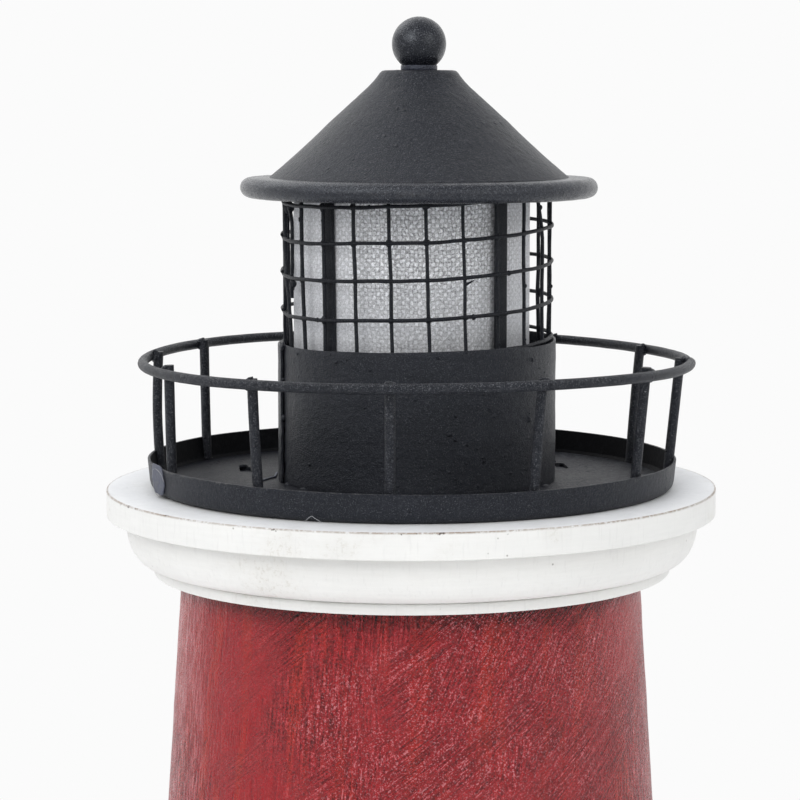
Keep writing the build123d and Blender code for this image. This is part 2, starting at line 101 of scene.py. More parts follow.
class LIGHTHOUSE_PG_wood(bpy.types.PropertyGroup):
    """Turned and painted wood."""

    segments: IntProperty(name="Segments", description="Steps round a turned piece", default=192, min=24)
    paint_edge: length("Paint edge", "Rounding that the paint leaves on a turned corner", 0.35 * MM)
    tower_wall: length("Tower wall", "Thickness of the tower's wall", 9 * MM)
    band_height: length("Band height", "Height of the plain band under the ovolo", 3.6 * MM)
    groove_height: length("Groove height", "Height of the groove over the band", 0.8 * MM)
    groove_depth: length("Groove depth", "Depth of the groove over the band", 1.0 * MM)
    ovolo_drop: length("Ovolo fillet", "Height of the plain fillet over the ovolo", 3.0 * MM)
    ovolo_toe: length("Ovolo toe", "How far the ovolo's lower edge stands out past the band", 2.0 * MM)
    band_inset: length("Band inset", "How far the band lies inside the ovolo's widest place", 9.6 * MM)
    white: colour("White paint", "Colour of the white paint", (0.778, 0.775, 0.756))
    red: colour("Red paint", "Colour of the red paint", (0.268, 0.0115, 0.0152))


class LIGHTHOUSE_PG_iron(bpy.types.PropertyGroup):
    """Black sheet, rods and wire."""

    sheet: length("Sheet", "Thickness of the black sheet", 0.95 * MM)
    tray_corner: length("Tray corner", "Radius of the tray's lower corner", 3.0 * MM)
    tray_flare: length("Tray flare", "How much wider the tray is at its rim than at its foot", 0.8 * MM)
    slot_width: length("Slot width", "Width of the slots in the deck", 4.2 * MM)
    slot_length: length("Slot length", "Length of the slots in the deck", 15 * MM)
    slot_offset: length("Slot offset", "Distance of each slot from the middle of the pair", 57.7 * MM)
    slot_back: length("Slot back", "How far the pair of slots lies behind the axis", 25.8 * MM)
    slot_aside: length("Slot aside", "How far the pair of slots lies to the left of the axis", 2.8 * MM)
    slot_turn: turning("Slot turn", "How far the pair of slots is turned", 5.1)
    wire: length("Wire", "Diameter of the painted mesh wire", 1.34 * MM)
    mesh_pitch: length("Mesh pitch", "Distance from wire to wire in the mesh", 12.7 * MM)
    uprights: IntProperty(name="Uprights", description="Upright wires in the mesh", default=23, min=3)
    black: colour("Black paint", "Colour of the black paint", (0.0088, 0.0096, 0.0145))


class LIGHTHOUSE_PG_set(bpy.types.PropertyGroup):
    """How the hand-assembled pieces sit, and the light and view on them."""

    tower_shift: length("Tower shift", "How far the tower sits off the cornice's middle", -0.15 * MM)
    rail_shift: length("Rail shift", "How far the rail sits off the cornice's middle", 1.7 * MM)
    tray_shift: length("Tray shift", "How far the tray sits off the cornice's middle", 0.3 * MM)
    drum_shift: length("Drum shift", "How far the drum sits off the middle", 2.6 * MM)
    cage_shift: length("Cage shift", "How far the wire cage sits off the middle", 2.2 * MM)
    post_shift: length("Post shift", "How far the posts sit off the middle", 0.6 * MM)
    roof_shift: length("Roof shift", "How far the roof sits off the middle", 2.75 * MM)
    view_distance: length("View distance", "Distance of the camera from the axis", 0.95)
    view_rise: length("View rise", "Height of the camera over the cornice", 138.2 * MM)
    view_side: length("View side", "Sideways place of the camera", -3.9 * MM)
    view_pitch: turning("View pitch", "Downward tilt of the camera", 6.5)
    lens: amount("Lens", "Focal length in millimetres", 121.6)
    room_light: amount("Room light", "Strength of the room's own light", 0.325)
    sky_light: amount("Sky light", "How much stronger the room's light is overhead", 0.97)
    key_power: amount("Key power", "Power of the large soft lamp", 15.0)
    fill_power: amount("Fill power", "Power of the weak lamp", 7.5)
    front_power: amount("Front power", "Power of the small lamp in front", 3.5)
    rim_power: amount("Rim power", "Power of the lamp high at the back", 6.0)
    back_light: amount("Back light", "Light from behind, as a share of that in front", 1.1)
    front_gloss: amount("Front gloss", "What a gloss sees of the backdrop in front", 0.49)
    backdrop: amount("Backdrop", "Brightness of the backdrop", 0.965)


def settings():
    """The three groups of sizes and colours."""
    scene = bpy.context.scene
    return scene.lighthouse_wood, scene.lighthouse_iron, scene.lighthouse_set


# ---- modelling ------------------------------------------------------------------------------


def leave_edit():
    """Go back to object mode."""
    bpy.ops.object.mode_set(mode="OBJECT")


def deselect():
    """Leave edit mode with nothing selected, so that an operator acts only on what comes next."""
    if bpy.context.mode != "OBJECT":
        leave_edit()
    bpy.ops.object.select_all(action="DESELECT")


def pick(*pieces):
    """Select these pieces, the first as the active one."""
    deselect()
    for piece in pieces:
        piece.select_set(True)
    bpy.context.view_layer.objects.active = pieces[0]


def named(name):
    """Name the object just added and put its place into its mesh."""
    piece = bpy.context.object
    piece.name = name
    piece.data.name = name
    bpy.ops.object.transform_apply(location=True, rotation=True, scale=True)
    return piece


def added(kind, name, **values):
    """Add one of the plain mesh shapes under a name of its own."""
    deselect()
    getattr(bpy.ops.mesh, f"primitive_{kind}_add")(**values)
    return named(name)


def block(name, middle, size):
    """A box by its middle and its three sizes."""
    deselect()
    bpy.ops.mesh.primitive_cube_add(size=1, location=middle)
    bpy.ops.transform.resize(value=size)
    return named(name)


def discard(*pieces):
    """Delete cutters and patterns that have done their work."""
    pick(*pieces)
    bpy.ops.object.delete()


def smooth(piece, degrees=38):
    """Shade a piece smooth but for its sharp edges."""
    pick(piece)
    bpy.ops.object.shade_smooth_by_angle(angle=radians(degrees))


def extrude(step, count=1):
    """Draw what is selected out by a step, so many times."""
    for _ in range(count):
        bpy.ops.mesh.extrude_region_move(TRANSFORM_OT_translate={"value": step})


def select_mesh():
    """Select the whole mesh in edit mode."""
    bpy.ops.mesh.select_all(action="SELECT")


def draw(name, points):
    """A line drawn from point to point by extruding its end, left open in edit mode."""
    line = added("plane", name, size=MM, location=points[0])
    bpy.ops.object.mode_set(mode="EDIT")
    bpy.ops.mesh.merge(type="CENTER")
    for here, there in zip(points, points[1:]):
        extrude(Vector(there) - Vector(here))
    return line


def close_mesh():
    """Merge doubles, turn all faces outwards and leave edit mode with a smooth surface."""
    select_mesh()
    bpy.ops.mesh.remove_doubles(threshold=0.004 * MM)
    bpy.ops.mesh.normals_make_consistent(inside=False)
    leave_edit()
    bpy.ops.object.shade_smooth_by_angle(angle=radians(38))


def turn(name, outline, segments=None):
    """A piece turned round the axis from an outline of (radius, height) points."""
    line = draw(name, [(radius, 0, height) for radius, height in outline])
    select_mesh()
    steps = segments or settings()[0].segments
    bpy.ops.mesh.spin(steps=steps, angle=2 * pi, center=(0, 0, 0), axis=(0, 0, 1))
    close_mesh()
    return line


def arc(center, radius, start, end, count):
    """Points on an arc of an outline, from one angle to another in degrees."""
    angles = [radians(start + (end - start) * step / count) for step in range(count + 1)]
    return [(center[0] + radius * cos(angle), center[1] + radius * sin(angle)) for angle in angles]


def run(start, end, count):
    """Evenly spaced points from start to end, both included."""
    first, last = Vector(start), Vector(end)
    return [tuple(first.lerp(last, step / count)) for step in range(count + 1)]


def soften(outline, size, least=0.35):
    """Round an outline's sharp corners, as paint does."""
    points = [Vector(point) for point in outline]
    soft = [points[0]]
    for before, corner, after in zip(points, points[1:], points[2:]):
        back, ahead = before - corner, after - corner
        if min(back.length, ahead.length) < 1e-7 or pi - back.angle(ahead) < least:
            soft.append(corner)
            continue
        start = corner + back.normalized() * min(size, back.length * 0.45)
        end = corner + ahead.normalized() * min(size, ahead.length * 0.45)
        for share in (0, 0.33, 0.67, 1):
            soft.append(start.lerp(corner, share).lerp(corner.lerp(end, share), share))
    return [tuple(point) for point in soft + [points[-1]]]


def face_out(sheet):
    """Turn all faces of an open sheet the same way."""
    pick(sheet)
    bpy.ops.object.mode_set(mode="EDIT")
    select_mesh()
    bpy.ops.mesh.normals_make_consistent(inside=False)
    leave_edit()


def apply(piece, kind, **values):
    """Add a modifier with these values and apply it."""
    pick(piece)
    bpy.ops.object.modifier_add(type=kind)
    modifier = piece.modifiers[-1]
    for name, value in values.items():
        setattr(modifier, name, value)
    bpy.ops.object.modifier_apply(modifier=modifier.name)


def round_edges(piece, width, segments, sharper):
    """Round a sheet's edges that are sharper than an angle in degrees."""
    apply(piece, "BEVEL", width=width, segments=segments, limit_method="ANGLE", angle_limit=radians(sharper))


def roughen(piece, height, size, depth=2):
    """Leave the surface uneven, with lumps of about this size."""
    lumps = bpy.data.textures.new(piece.name + "_lumps", "CLOUDS")
    lumps.noise_scale = size
    lumps.noise_depth = depth
    apply(piece, "DISPLACE", texture=lumps, strength=height, mid_level=0.5)


def reshape(piece, rule):
    """Bend a piece by hand: every point goes where the rule says."""
    for vertex in piece.data.vertices:
        vertex.co = rule(vertex.co)
    piece.data.update()


def shift(piece, sideways):
    """Move a piece sideways within its own mesh."""
    piece.data.transform(Matrix.Translation((sideways, 0, 0)))


def rod(name, points, diameter, sides=3, closed=False):
    """A wire or rod bent through points."""
    line = draw(name, points)
    if closed:
        select_mesh()
        bpy.ops.mesh.remove_doubles(threshold=0.01 * MM)
    pick(line)
    bpy.ops.object.convert(target="CURVE")
    line.data.bevel_depth = diameter / 2
    line.data.bevel_resolution = sides
    line.data.use_fill_caps = not closed
    bpy.ops.object.convert(target="MESH")
    bpy.ops.object.mode_set(mode="EDIT")
    close_mesh()
    return line


def copy_of(piece, place):
    """A copy with its own mesh, moved by a matrix."""
    twin = piece.copy()
    twin.data = piece.data.copy()
    twin.data.transform(place)
    bpy.context.collection.objects.link(twin)
    return twin


def join(name, pieces):
    """Weld pieces into one object."""
    pick(*pieces)
    bpy.ops.object.join()
    whole = bpy.context.object
    whole.name = name
    whole.data.name = name
    return whole


def cut(piece, *cutters):
    """Take the cutters' shapes out of a piece."""
    for cutter in cutters:
        apply(piece, "BOOLEAN", operation="DIFFERENCE", solver="EXACT", object=cutter)
        discard(cutter)
    smooth(piece)


def lump(name, size, seed):
    """A small lump of weld or paint."""
    blob = added("ico_sphere", name, subdivisions=2, radius=1)
    offset = Vector((seed * 3.1, seed * 1.7, seed))
    reshape(blob, lambda point: point * (1 + 0.35 * noise.noise(point * 1.3 + offset)))
    blob.data.transform(Matrix.Diagonal((*size, 1)))
    pick(blob)
    bpy.ops.object.shade_smooth()
    return blob


def polar(turn_angle, radius, height=0.0):
    """A point by its angle from the front, positive to the right, its radius and its height."""
    return Vector((radius * sin(turn_angle), -radius * cos(turn_angle), height))


def round_from_front(point):
    """A point's angle from the front, positive to the right."""
    return atan2(point.x, -point.y)


def climb(value, start, span):
    """A share that goes from 0 at the start to 1 at the end of a span, and stays there."""
    return max(0.0, min(1.0, (value - start) / span))


def smoothly(share):
    """A share with a gentle start and end."""
    return share * share * (3 - 2 * share)


def hill(value, middle, width):
    """A smooth hump, 1 at its middle and small past its width."""
    return exp(-((value - middle) / width) ** 2)


def facing(turn_angle, radius, height, tilt=0.0):
    """A matrix that puts a shape made at the origin, facing the front, at a place round the axis."""
    place = Matrix.Translation(polar(turn_angle, radius, height))
    return place @ Matrix.Rotation(turn_angle, 4, "Z") @ Matrix.Rotation(tilt, 4, "Y")


def settle(piece, material, body, slot, *nodes):
    """Give a finished piece its paint, the body it moves with and the solids it stands for."""
    piece.data.materials.clear()
    piece.data.materials.append(material)
    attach(piece, body)
    if nodes:
        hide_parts(*nodes)
    return piece


# ---- materials ------------------------------------------------------------------------------


class Nodes:
    """A node tree with short ways to add and join its nodes."""

    def __init__(self, tree):
        self.tree = tree

    def put(self, value, socket):
        if isinstance(value, bpy.types.NodeSocket):
            self.tree.links.new(value, socket)
        elif socket.type == "RGBA" and len(value) == 3:
            socket.default_value = (*value, 1)
        else:
            socket.default_value = value

    def add(self, kind, inputs=None, **values):
        node = self.tree.nodes.new(kind)
        for name, value in values.items():
            setattr(node, name, value)
        for name, value in (inputs or {}).items():
            self.put(value, node.inputs[name])
        return node

    def math(self, operation, *values):
        return self.add("ShaderNodeMath", dict(enumerate(values)), operation=operation).outputs[0]

    def times(self, *values):
        return reduce(partial(self.math, "MULTIPLY"), values)

    def plus(self, *values):
        return reduce(partial(self.math, "ADD"), values)

    def most(self, *values):
        return reduce(partial(self.math, "MAXIMUM"), values)

    def minus(self, first, second):
        return self.math("SUBTRACT", first, second)

    def ratio(self, first, second):
        return self.math("DIVIDE", first, second)

    def between(self, share, first, second):
        """A value from the first, at a share of 0, to the second, at 1."""
        return self.plus(self.times(second, share), self.times(first, self.minus(1.0, share)))

    def vector(self, operation, *values):
        return self.add("ShaderNodeVectorMath", dict(enumerate(values)), operation=operation).outputs[0]

    def scaled(self, colour, factor):
        """A colour made lighter or darker by a factor."""
        result = self.vector("SCALE", colour)
        self.put(factor, result.node.inputs["Scale"])
        return result

    def ease(self, value, low, high, start=0.0, end=1.0):
        """A value's smooth climb from start to end while it goes from low to high."""
        inputs = {0: value, 1: low, 2: high, 3: start, 4: end}
        return self.add("ShaderNodeMapRange", inputs, interpolation_type="SMOOTHSTEP").outputs[0]

    def mix(self, share, first, second):
        return self.add("ShaderNodeMix", {0: share, 6: first, 7: second}, data_type="RGBA").outputs[2]

    def noise(self, place, scale, detail=3.0, rough=0.55, twist=0.0):
        inputs = {"Vector": place, "Scale": scale, "Detail": detail, "Roughness": rough, "Distortion": twist}
        return self.add("ShaderNodeTexNoise", inputs).outputs[0]

    def place(self):
        return self.add("ShaderNodeTexCoord").outputs["Object"]

    def split(self, vector):
        return self.add("ShaderNodeSeparateXYZ", {0: vector}).outputs

    def group(self, name, inputs):
        node = self.add("ShaderNodeGroup", node_tree=bpy.data.node_groups[name])
        for label, value in inputs.items():
            self.put(value, node.inputs[label])
        return node.outputs

    def near_ring(self, radius, height, ring_radius, ring_height, width):
        """How near a place is to a turned edge or corner, from 1 on it to 0 at this width."""
        return self.group("Near a ring", {
            "Radius": radius, "Height": height, "Ring radius": ring_radius, "Ring height": ring_height,
            "Reach": width,
        })[0]

    def surface(self, shader, paint, rough, height, relief, shine=0.5):
        """Join a finish's colour, roughness and relief to its shader, and set how strongly it mirrors."""
        self.put(paint, shader["Base Color"])
        self.put(rough, shader["Roughness"])
        bump = self.add("ShaderNodeBump", {"Height": height, "Distance": relief, "Strength": 1.0})
        self.put(bump.outputs[0], shader["Normal"])
        shader["Specular IOR Level"].default_value = shine


def new_group(name, inputs, outputs):
    """An empty node group with named sockets; returns its nodes, what comes in and what goes out."""
    tree = bpy.data.node_groups.new(name, "ShaderNodeTree")
    for label, kind, default in inputs:
        socket = tree.interface.new_socket(name=label, in_out="INPUT", socket_type="NodeSocket" + kind)
        socket.default_value = default
    for label, kind in outputs:
        tree.interface.new_socket(name=label, in_out="OUTPUT", socket_type="NodeSocket" + kind)
    nodes = Nodes(tree)
    return nodes, nodes.add("NodeGroupInput").outputs, nodes.add("NodeGroupOutput").inputs


def new_material(name):
    """A material with one Principled shader; returns it, its nodes and the shader's inputs."""
    material = bpy.data.materials.new(name)
    material.use_nodes = True
    nodes = Nodes(material.node_tree)
    shader = material.node_tree.nodes["Principled BSDF"]
    return material, nodes, shader.inputs


def build_round_group():
    """Where a point lies round the axis: its turn, radius and height."""
    nodes, given, out = new_group(
        "Round the axis", [("Place", "Vector", (0, 0, 0))],
        [("Turn", "Float"), ("Radius", "Float"), ("Height", "Float")],
    )
    x, y, z = nodes.split(given["Place"])
    nodes.put(nodes.ratio(nodes.math("ARCTAN2", y, x), 2 * pi), out["Turn"])
    flat = nodes.plus(nodes.times(x, x), nodes.times(y, y))
    nodes.put(nodes.math("SQRT", flat), out["Radius"])
    nodes.put(z, out["Height"])


def build_stroke_group():
    """Bristle marks of a brush drawn along a slope round the axis."""
    nodes, given, out = new_group(
        "Brush strokes",
        [
            ("Place", "Vector", (0, 0, 0)), ("Slope", "Float", 0.0), ("Width", "Float", 0.001),
            ("Length", "Float", 0.02), ("Wander", "Float", 0.3),
        ],
        [("Bristle", "Float"), ("Stroke", "Float")],
    )
    height = nodes.split(given["Place"])[2]
    angle = nodes.times(height, given["Slope"], -1.0)
    turned = nodes.add(
        "ShaderNodeVectorRotate", {"Vector": given["Place"], "Angle": angle}, rotation_type="Z_AXIS"
    ).outputs[0]
    across = nodes.ratio(1.0, given["Width"])
    along = nodes.ratio(1.0, given["Length"])
    stretch = nodes.add("ShaderNodeCombineXYZ", {0: across, 1: across, 2: along}).outputs[0]
    drawn = nodes.vector("MULTIPLY", turned, stretch)
    nodes.put(nodes.noise(drawn, 1.0, 3.0, 0.6, given["Wander"]), out["Bristle"])
    nodes.put(nodes.noise(drawn, 0.16, 2.0, 0.5, given["Wander"]), out["Stroke"])


def build_sand_group():
    """Sandy paint: fine grain, scattered lumps, low waves and cloudy patches."""
    nodes, given, out = new_group(
        "Sandy paint",
        [
            ("Place", "Vector", (0, 0, 0)), ("Colour", "Color", (0.02, 0.02, 0.02, 1)),
            ("Grain", "Float", 0.0006), ("Grit", "Float", 0.5), ("Dust", "Float", 0.3), ("Flecks", "Float", 0.4),
            ("Gloss", "Float", 0.42),
        ],
        [("Color", "Color"), ("Roughness", "Float"), ("Height", "Float")],
    )
    place = given["Place"]
    scale = nodes.ratio(1.0, given["Grain"])
    fine = nodes.noise(place, scale, 3.0, 0.65)
    warp = nodes.add("ShaderNodeTexNoise", {"Vector": place, "Scale": 900.0, "Detail": 1.0}).outputs["Color"]
    bent = nodes.vector("ADD", place, nodes.vector("MULTIPLY", warp, (0.0011, 0.0011, 0.0011)))
    cells = nodes.add("ShaderNodeTexVoronoi", {"Vector": bent, "Scale": nodes.times(scale, 0.26)}).outputs
    spread = nodes.ease(nodes.noise(place, 70.0, 3.0), 0.40, 0.70)
    seed = nodes.split(cells["Color"])[0]
    chosen = nodes.ease(nodes.plus(seed, nodes.times(spread, 0.14)), 0.95, 1.05)
    round_top = nodes.ease(cells["Distance"], 0.05, 0.42, 1.0, 0.0)
    grit = nodes.times(chosen, round_top, given["Grit"])
    cloud = nodes.noise(place, 38.0, 4.0, 0.6)
    tone = nodes.plus(nodes.ease(cloud, 0.25, 0.75, 0.80, 1.20), nodes.ease(fine, 0.3, 0.7, -0.30, 0.34))
    painted = nodes.scaled(given["Colour"], tone)
    # Pale flecks are painted glints where the grain catches the light, more of them on faces turned up towards it.
    facing_up = nodes.split(nodes.add("ShaderNodeNewGeometry").outputs["Normal"])[2]
    upward_glint = nodes.ease(facing_up, -0.3, 0.8, 0.45, 1.0)
    flecks = nodes.times(nodes.ease(nodes.noise(place, 2500.0, 2.0, 0.6), 0.54, 0.68), upward_glint)
    sparse = nodes.ease(nodes.noise(place, 1300.0, 2.0, 0.6), 0.68, 0.74)
    flecks = nodes.most(flecks, sparse)
    dust = nodes.ease(nodes.noise(place, 520.0, 4.0, 0.7), 0.42, 0.66)
    dust = nodes.times(dust, nodes.ease(cloud, 0.35, 0.65, 0.5, 1.0), given["Dust"])
    dusted = nodes.mix(dust, painted, (0.125, 0.127, 0.135))
    # Mix the pale grey of the painted glint flecks over the dusted paint.
    nodes.put(nodes.mix(nodes.times(flecks, given["Flecks"]), dusted, (0.17, 0.175, 0.19)), out["Color"])
    rough = nodes.plus(
        given["Gloss"], nodes.ease(fine, 0.3, 0.7, -0.06, 0.06), nodes.ease(cloud, 0.3, 0.7, -0.03, 0.05)
    )
    nodes.put(rough, out["Roughness"])
    waves = nodes.noise(place, 420.0, 2.0, 0.5)
    height = nodes.plus(nodes.times(fine, 0.85), nodes.times(waves, 0.8), nodes.times(grit, 2.6))
    nodes.put(height, out["Height"])


def build_ring_group():
    """How near a point is to a turned edge or corner, given as a radius and a height."""
    nodes, given, out = new_group(
        "Near a ring",
        [
            ("Radius", "Float", 0.1), ("Height", "Float", 0.1), ("Ring radius", "Float", 0.1),
            ("Ring height", "Float", 0.1), ("Reach", "Float", 0.001),
        ],
        [("Near", "Float")],
    )
    across = nodes.minus(given["Radius"], given["Ring radius"])
    along = nodes.minus(given["Height"], given["Ring height"])
    squared = nodes.plus(nodes.times(across, across), nodes.times(along, along))
    share = nodes.ratio(nodes.math("SQRT", squared), given["Reach"])
    nodes.put(nodes.ease(share, 0.0, 1.0, 1.0, 0.0), out["Near"])


def build_weave_group():
    """Plain weave wrapped round the axis, with uneven threads that catch the light."""
    nodes, given, out = new_group(
        "Plain weave",
        [("Place", "Vector", (0, 0, 0)), ("Threads round", "Float", 178.0), ("Pitch", "Float", 0.00145)],
        [("Height", "Float"), ("Shade", "Float")],
    )
    place = given["Place"]
    turn_share, _, height = nodes.group("Round the axis", {"Place": place})
    drift, waver = (
        nodes.times(nodes.minus(nodes.noise(place, scale, 2.0), 0.5), sway)
        for scale, sway in ((130.0, 1.5), (480.0, 1.1))
    )
    drift = nodes.plus(drift, waver)
    counts = (nodes.times(turn_share, given["Threads round"]), nodes.ratio(height, given["Pitch"]))
    warp, weft = (nodes.math("SINE", nodes.times(nodes.plus(count, drift), pi)) for count in counts)
    over = nodes.times(warp, weft)
    ribs = nodes.math("MINIMUM", nodes.math("ABSOLUTE", warp), nodes.math("ABSOLUTE", weft))
    uneven = nodes.ease(nodes.noise(place, 1500.0, 2.0, 0.7), 0.36, 0.64, -1.0, 1.0)
    blobs = nodes.ease(over, -0.15, 0.65, -0.55, 0.70)
    nodes.put(nodes.plus(nodes.times(ribs, 0.5), nodes.times(over, 0.35)), out["Height"])
    glints = nodes.ease(ribs, 0.0, 0.7, -0.34, 0.20)
    nodes.put(nodes.plus(nodes.times(blobs, 0.62), nodes.times(uneven, 0.46), glints), out["Shade"])


def white_paint(name, edges, corners, grimy, tip=0.0, lid=0.0):
    """White brushed paint on turned wood: worn edges, painted shade in its corners, specks, and a cooler painted
    cast of the overhead light on a lid's top.
    """
    material, nodes, shader = new_material(name)
    place = nodes.place()
    _, radius, height = nodes.group("Round the axis", {"Place": place})
    height = nodes.minus(height, nodes.times(nodes.split(place)[0], tip))
    lathe = nodes.noise(nodes.vector("MULTIPLY", place, (60.0, 60.0, 900.0)), 1.0, 3.0, 0.6)
    dabs = nodes.noise(nodes.vector("MULTIPLY", place, (1.0, 1.0, 0.45)), 330.0, 3.0, 0.6)
    ticks = nodes.noise(nodes.vector("MULTIPLY", place, (1.0, 1.0, 0.12)), 900.0, 2.0, 0.6)
    cloud = nodes.noise(place, 22.0, 4.0, 0.6)
    shade = nodes.plus(
        nodes.ease(lathe, 0.3, 0.7, -0.014, 0.010), nodes.ease(cloud, 0.3, 0.7, -0.030, 0.02),
        nodes.ease(ticks, 0.55, 0.75, 0.0, -0.05), 1.0,
    )
    paint = nodes.scaled(tuple(settings()[0].white), shade)

    corner_shade = 0.0
    # Grey in the corners, where one piece meets another: painted shade.
    for *ring, share in corners:
        corner_shade = nodes.most(corner_shade, nodes.times(nodes.near_ring(radius, height, *ring), share))
    patchy = nodes.ease(nodes.noise(place, 55.0, 5.0, 0.65), 0.3, 0.7, 0.2, 1.0)
    paint = nodes.mix(nodes.times(corner_shade, patchy), paint, (0.44, 0.43, 0.38))
    freckles = nodes.ease(nodes.noise(place, 620.0, 4.0, 0.75), 0.50, 0.66)
    smudge = nodes.ease(nodes.noise(place, 24.0, 4.0, 0.65), 0.54, 0.72, 0.0, grimy)
    smudge = nodes.times(smudge, nodes.ease(freckles, 0.0, 1.0, 0.25, 1.0))
    paint = nodes.mix(smudge, paint, (0.42, 0.38, 0.30))
    cells = nodes.add("ShaderNodeTexVoronoi", {"Vector": place, "Scale": 330.0}).outputs
    patch = nodes.ease(nodes.noise(place, 26.0, 3.0, 0.6), 0.48, 0.70, 0.0, 0.075)
    chosen = nodes.math("GREATER_THAN", nodes.plus(nodes.split(cells["Color"])[0], patch), 0.987)
    speck = nodes.times(chosen, nodes.ease(cells["Distance"], 0.05, 0.16, 0.62, 0.0))
    paint = nodes.mix(speck, paint, (0.14, 0.12, 0.09))

    long_break = nodes.noise(place, 30.0, 3.0, 0.6)
    broken = nodes.ease(nodes.noise(place, 820.0, 3.0, 0.7), 0.34, 0.56, 0.30, 1.0)
    wear = nick = 0.0
    for *ring, width, share in edges:
        near, wider = (nodes.near_ring(radius, height, *ring, reach_out) for reach_out in (width, width * 2.6))
        strength = nodes.ease(long_break, 0.38, 0.62, share * 0.7, share)
        wear = nodes.most(wear, nodes.times(near, strength, broken))
        chip = nodes.ease(nodes.plus(nodes.noise(place, 380.0, 2.0), nodes.times(wider, 0.10)), 0.785, 0.82)
        nick = nodes.most(nick, nodes.times(chip, wider, share))
    paint = nodes.mix(wear, paint, (0.25, 0.18, 0.12))
    paint = nodes.mix(nick, paint, (0.06, 0.04, 0.03))
    # A bluer cast on the lid's top face: painted light of the sky overhead.
    if lid:
        sky_tint = nodes.ease(height, lid - 0.7 * MM, lid - 0.2 * MM)
        paint = nodes.mix(sky_tint, paint, nodes.vector("MULTIPLY", paint, (1.03, 1.04, 1.068)))

    relief = nodes.plus(nodes.times(dabs, 0.9), nodes.times(lathe, 0.45), nodes.times(ticks, 0.30))
    relief = nodes.minus(relief, nodes.times(nodes.most(wear, nick), 0.6))
    nodes.surface(shader, paint, nodes.ease(dabs, 0.3, 0.7, 0.42, 0.60), relief, 0.20 * MM, 0.4)
    return material


def red_paint(name):
    """Dark red brushed paint: slanting and upright bristle ridges and gritty grain with painted glints on both,
    painted shade in the grooves, a painted sheen at the left edge, painted light over the left side and a painted
    shadow under the band.
    """
    material, nodes, shader = new_material(name)
    place = nodes.place()
    side, _, height = nodes.split(place)
    slant, steep, upright = (
        nodes.group("Brush strokes", {
            "Place": place, "Slope": slope, "Width": width * MM, "Length": long * MM, "Wander": wander,
        })
        for slope, width, long, wander in ((15.5, 0.85, 15, 0.2), (6.0, 0.80, 11, 0.3), (0.4, 0.90, 12, 0.4))
    )
    choice = nodes.plus(nodes.noise(place, 24.0, 2.0, 0.5), nodes.ease(side, -45 * MM, 5 * MM, -0.14, 0.06))
    bristle = nodes.between(nodes.ease(choice, 0.44, 0.52), upright["Bristle"], slant["Bristle"])
    bristle = nodes.between(nodes.times(nodes.ease(choice, 0.60, 0.66), 0.7), bristle, steep["Bristle"])
    fine = nodes.noise(place, 1100.0, 2.0, 0.55)
    rest = nodes.plus(nodes.noise(place, 17.0, 3.0, 0.5), nodes.ease(side, -70 * MM, -2 * MM, -0.17, 0.05))
    calm = nodes.ease(rest, 0.38, 0.54, 0.30, 1.0)
    marks = nodes.plus(
        nodes.times(nodes.ease(bristle, 0.40, 0.60), 0.55), nodes.times(nodes.ease(fine, 0.36, 0.64), 0.45)
    )

    cloud = nodes.noise(place, 17.0, 4.0, 0.6)
    shoulder = top("tower_shell")
    # Darker just under the cornice: a painted shadow of the band.
    shadow_under_band = nodes.ease(height, shoulder - 10 * MM, shoulder, 0.0, 0.85)
    shadow_under_band = nodes.times(shadow_under_band, nodes.ease(cloud, 0.3, 0.7, 0.7, 1.0))
    # The brush marks lighten the ridges and darken the grooves: in part the paint's own tone, in part painted
    # light and shade.
    swing = nodes.times(nodes.minus(marks, 0.5), nodes.times(calm, 1.1))
    # Lighter over the left side, where more light falls: painted light.
    lit_left_side = nodes.ease(side, -70 * MM, -20 * MM, 0.02, 0.07)
    level = nodes.plus(nodes.ease(cloud, 0.3, 0.7, 1.03, 0.97), swing, lit_left_side)
    tone = nodes.scaled(tuple(settings()[0].red), nodes.minus(level, shadow_under_band))

    def tinted(share, paint, tint):
        """Take the paint towards the tone in another tint."""
        return nodes.mix(share, paint, nodes.vector("MULTIPLY", tone, tint))

    paint = tinted(nodes.ease(nodes.noise(place, 75.0, 3.0, 0.6), 0.48, 0.64, 0.0, 0.14), tone, (0.80, 0.85, 1.45))
    warm = nodes.times(nodes.ease(upright["Stroke"], 0.48, 0.64), nodes.ease(cloud, 0.40, 0.60, 0.3, 0.8))
    paint = tinted(warm, paint, (1.20, 1.45, 0.75))
    # Pinkish-white glints on the ridge crests and the grain: painted highlights.
    painted_glints = nodes.times(nodes.ease(bristle, 0.52, 0.60), nodes.ease(fine, 0.52, 0.60))
    painted_glints = nodes.most(painted_glints, nodes.ease(nodes.noise(place, 1700.0, 2.0, 0.6), 0.57, 0.66, 0.0, 0.9))
    worked = nodes.plus(nodes.noise(place, 30.0, 3.0, 0.5), nodes.ease(side, -60 * MM, 10 * MM, -0.14, 0.04))
    worked = nodes.ease(worked, 0.40, 0.58, 0.12, 0.62)
    paint = nodes.mix(nodes.times(painted_glints, nodes.times(calm, worked)), paint, (0.72, 0.29, 0.32))
    # Pale streaks along the left edge: a painted sheen.
    wear_and_sheen = nodes.ease(side, -68 * MM, -76 * MM, 0.0, 0.22)
    wear_and_sheen = nodes.times(nodes.ease(upright["Bristle"], 0.46, 0.60), wear_and_sheen)
    paint = nodes.mix(wear_and_sheen, paint, (0.74, 0.40, 0.43))
    # Darker, bluer paint in the bristle grooves: painted shade.
    groove_shade = nodes.times(nodes.ease(bristle, 0.44, 0.36), nodes.ease(fine, 0.50, 0.40), 0.45)
    paint = tinted(groove_shade, paint, (0.35, 0.45, 0.9))

    relief = nodes.times(nodes.plus(nodes.times(bristle, 1.0), nodes.times(fine, 0.8)), calm)
    nodes.surface(shader, paint, nodes.ease(marks, 0.2, 0.8, 0.36, 0.24), relief, 1.8 * MM, 0.38)
    return material


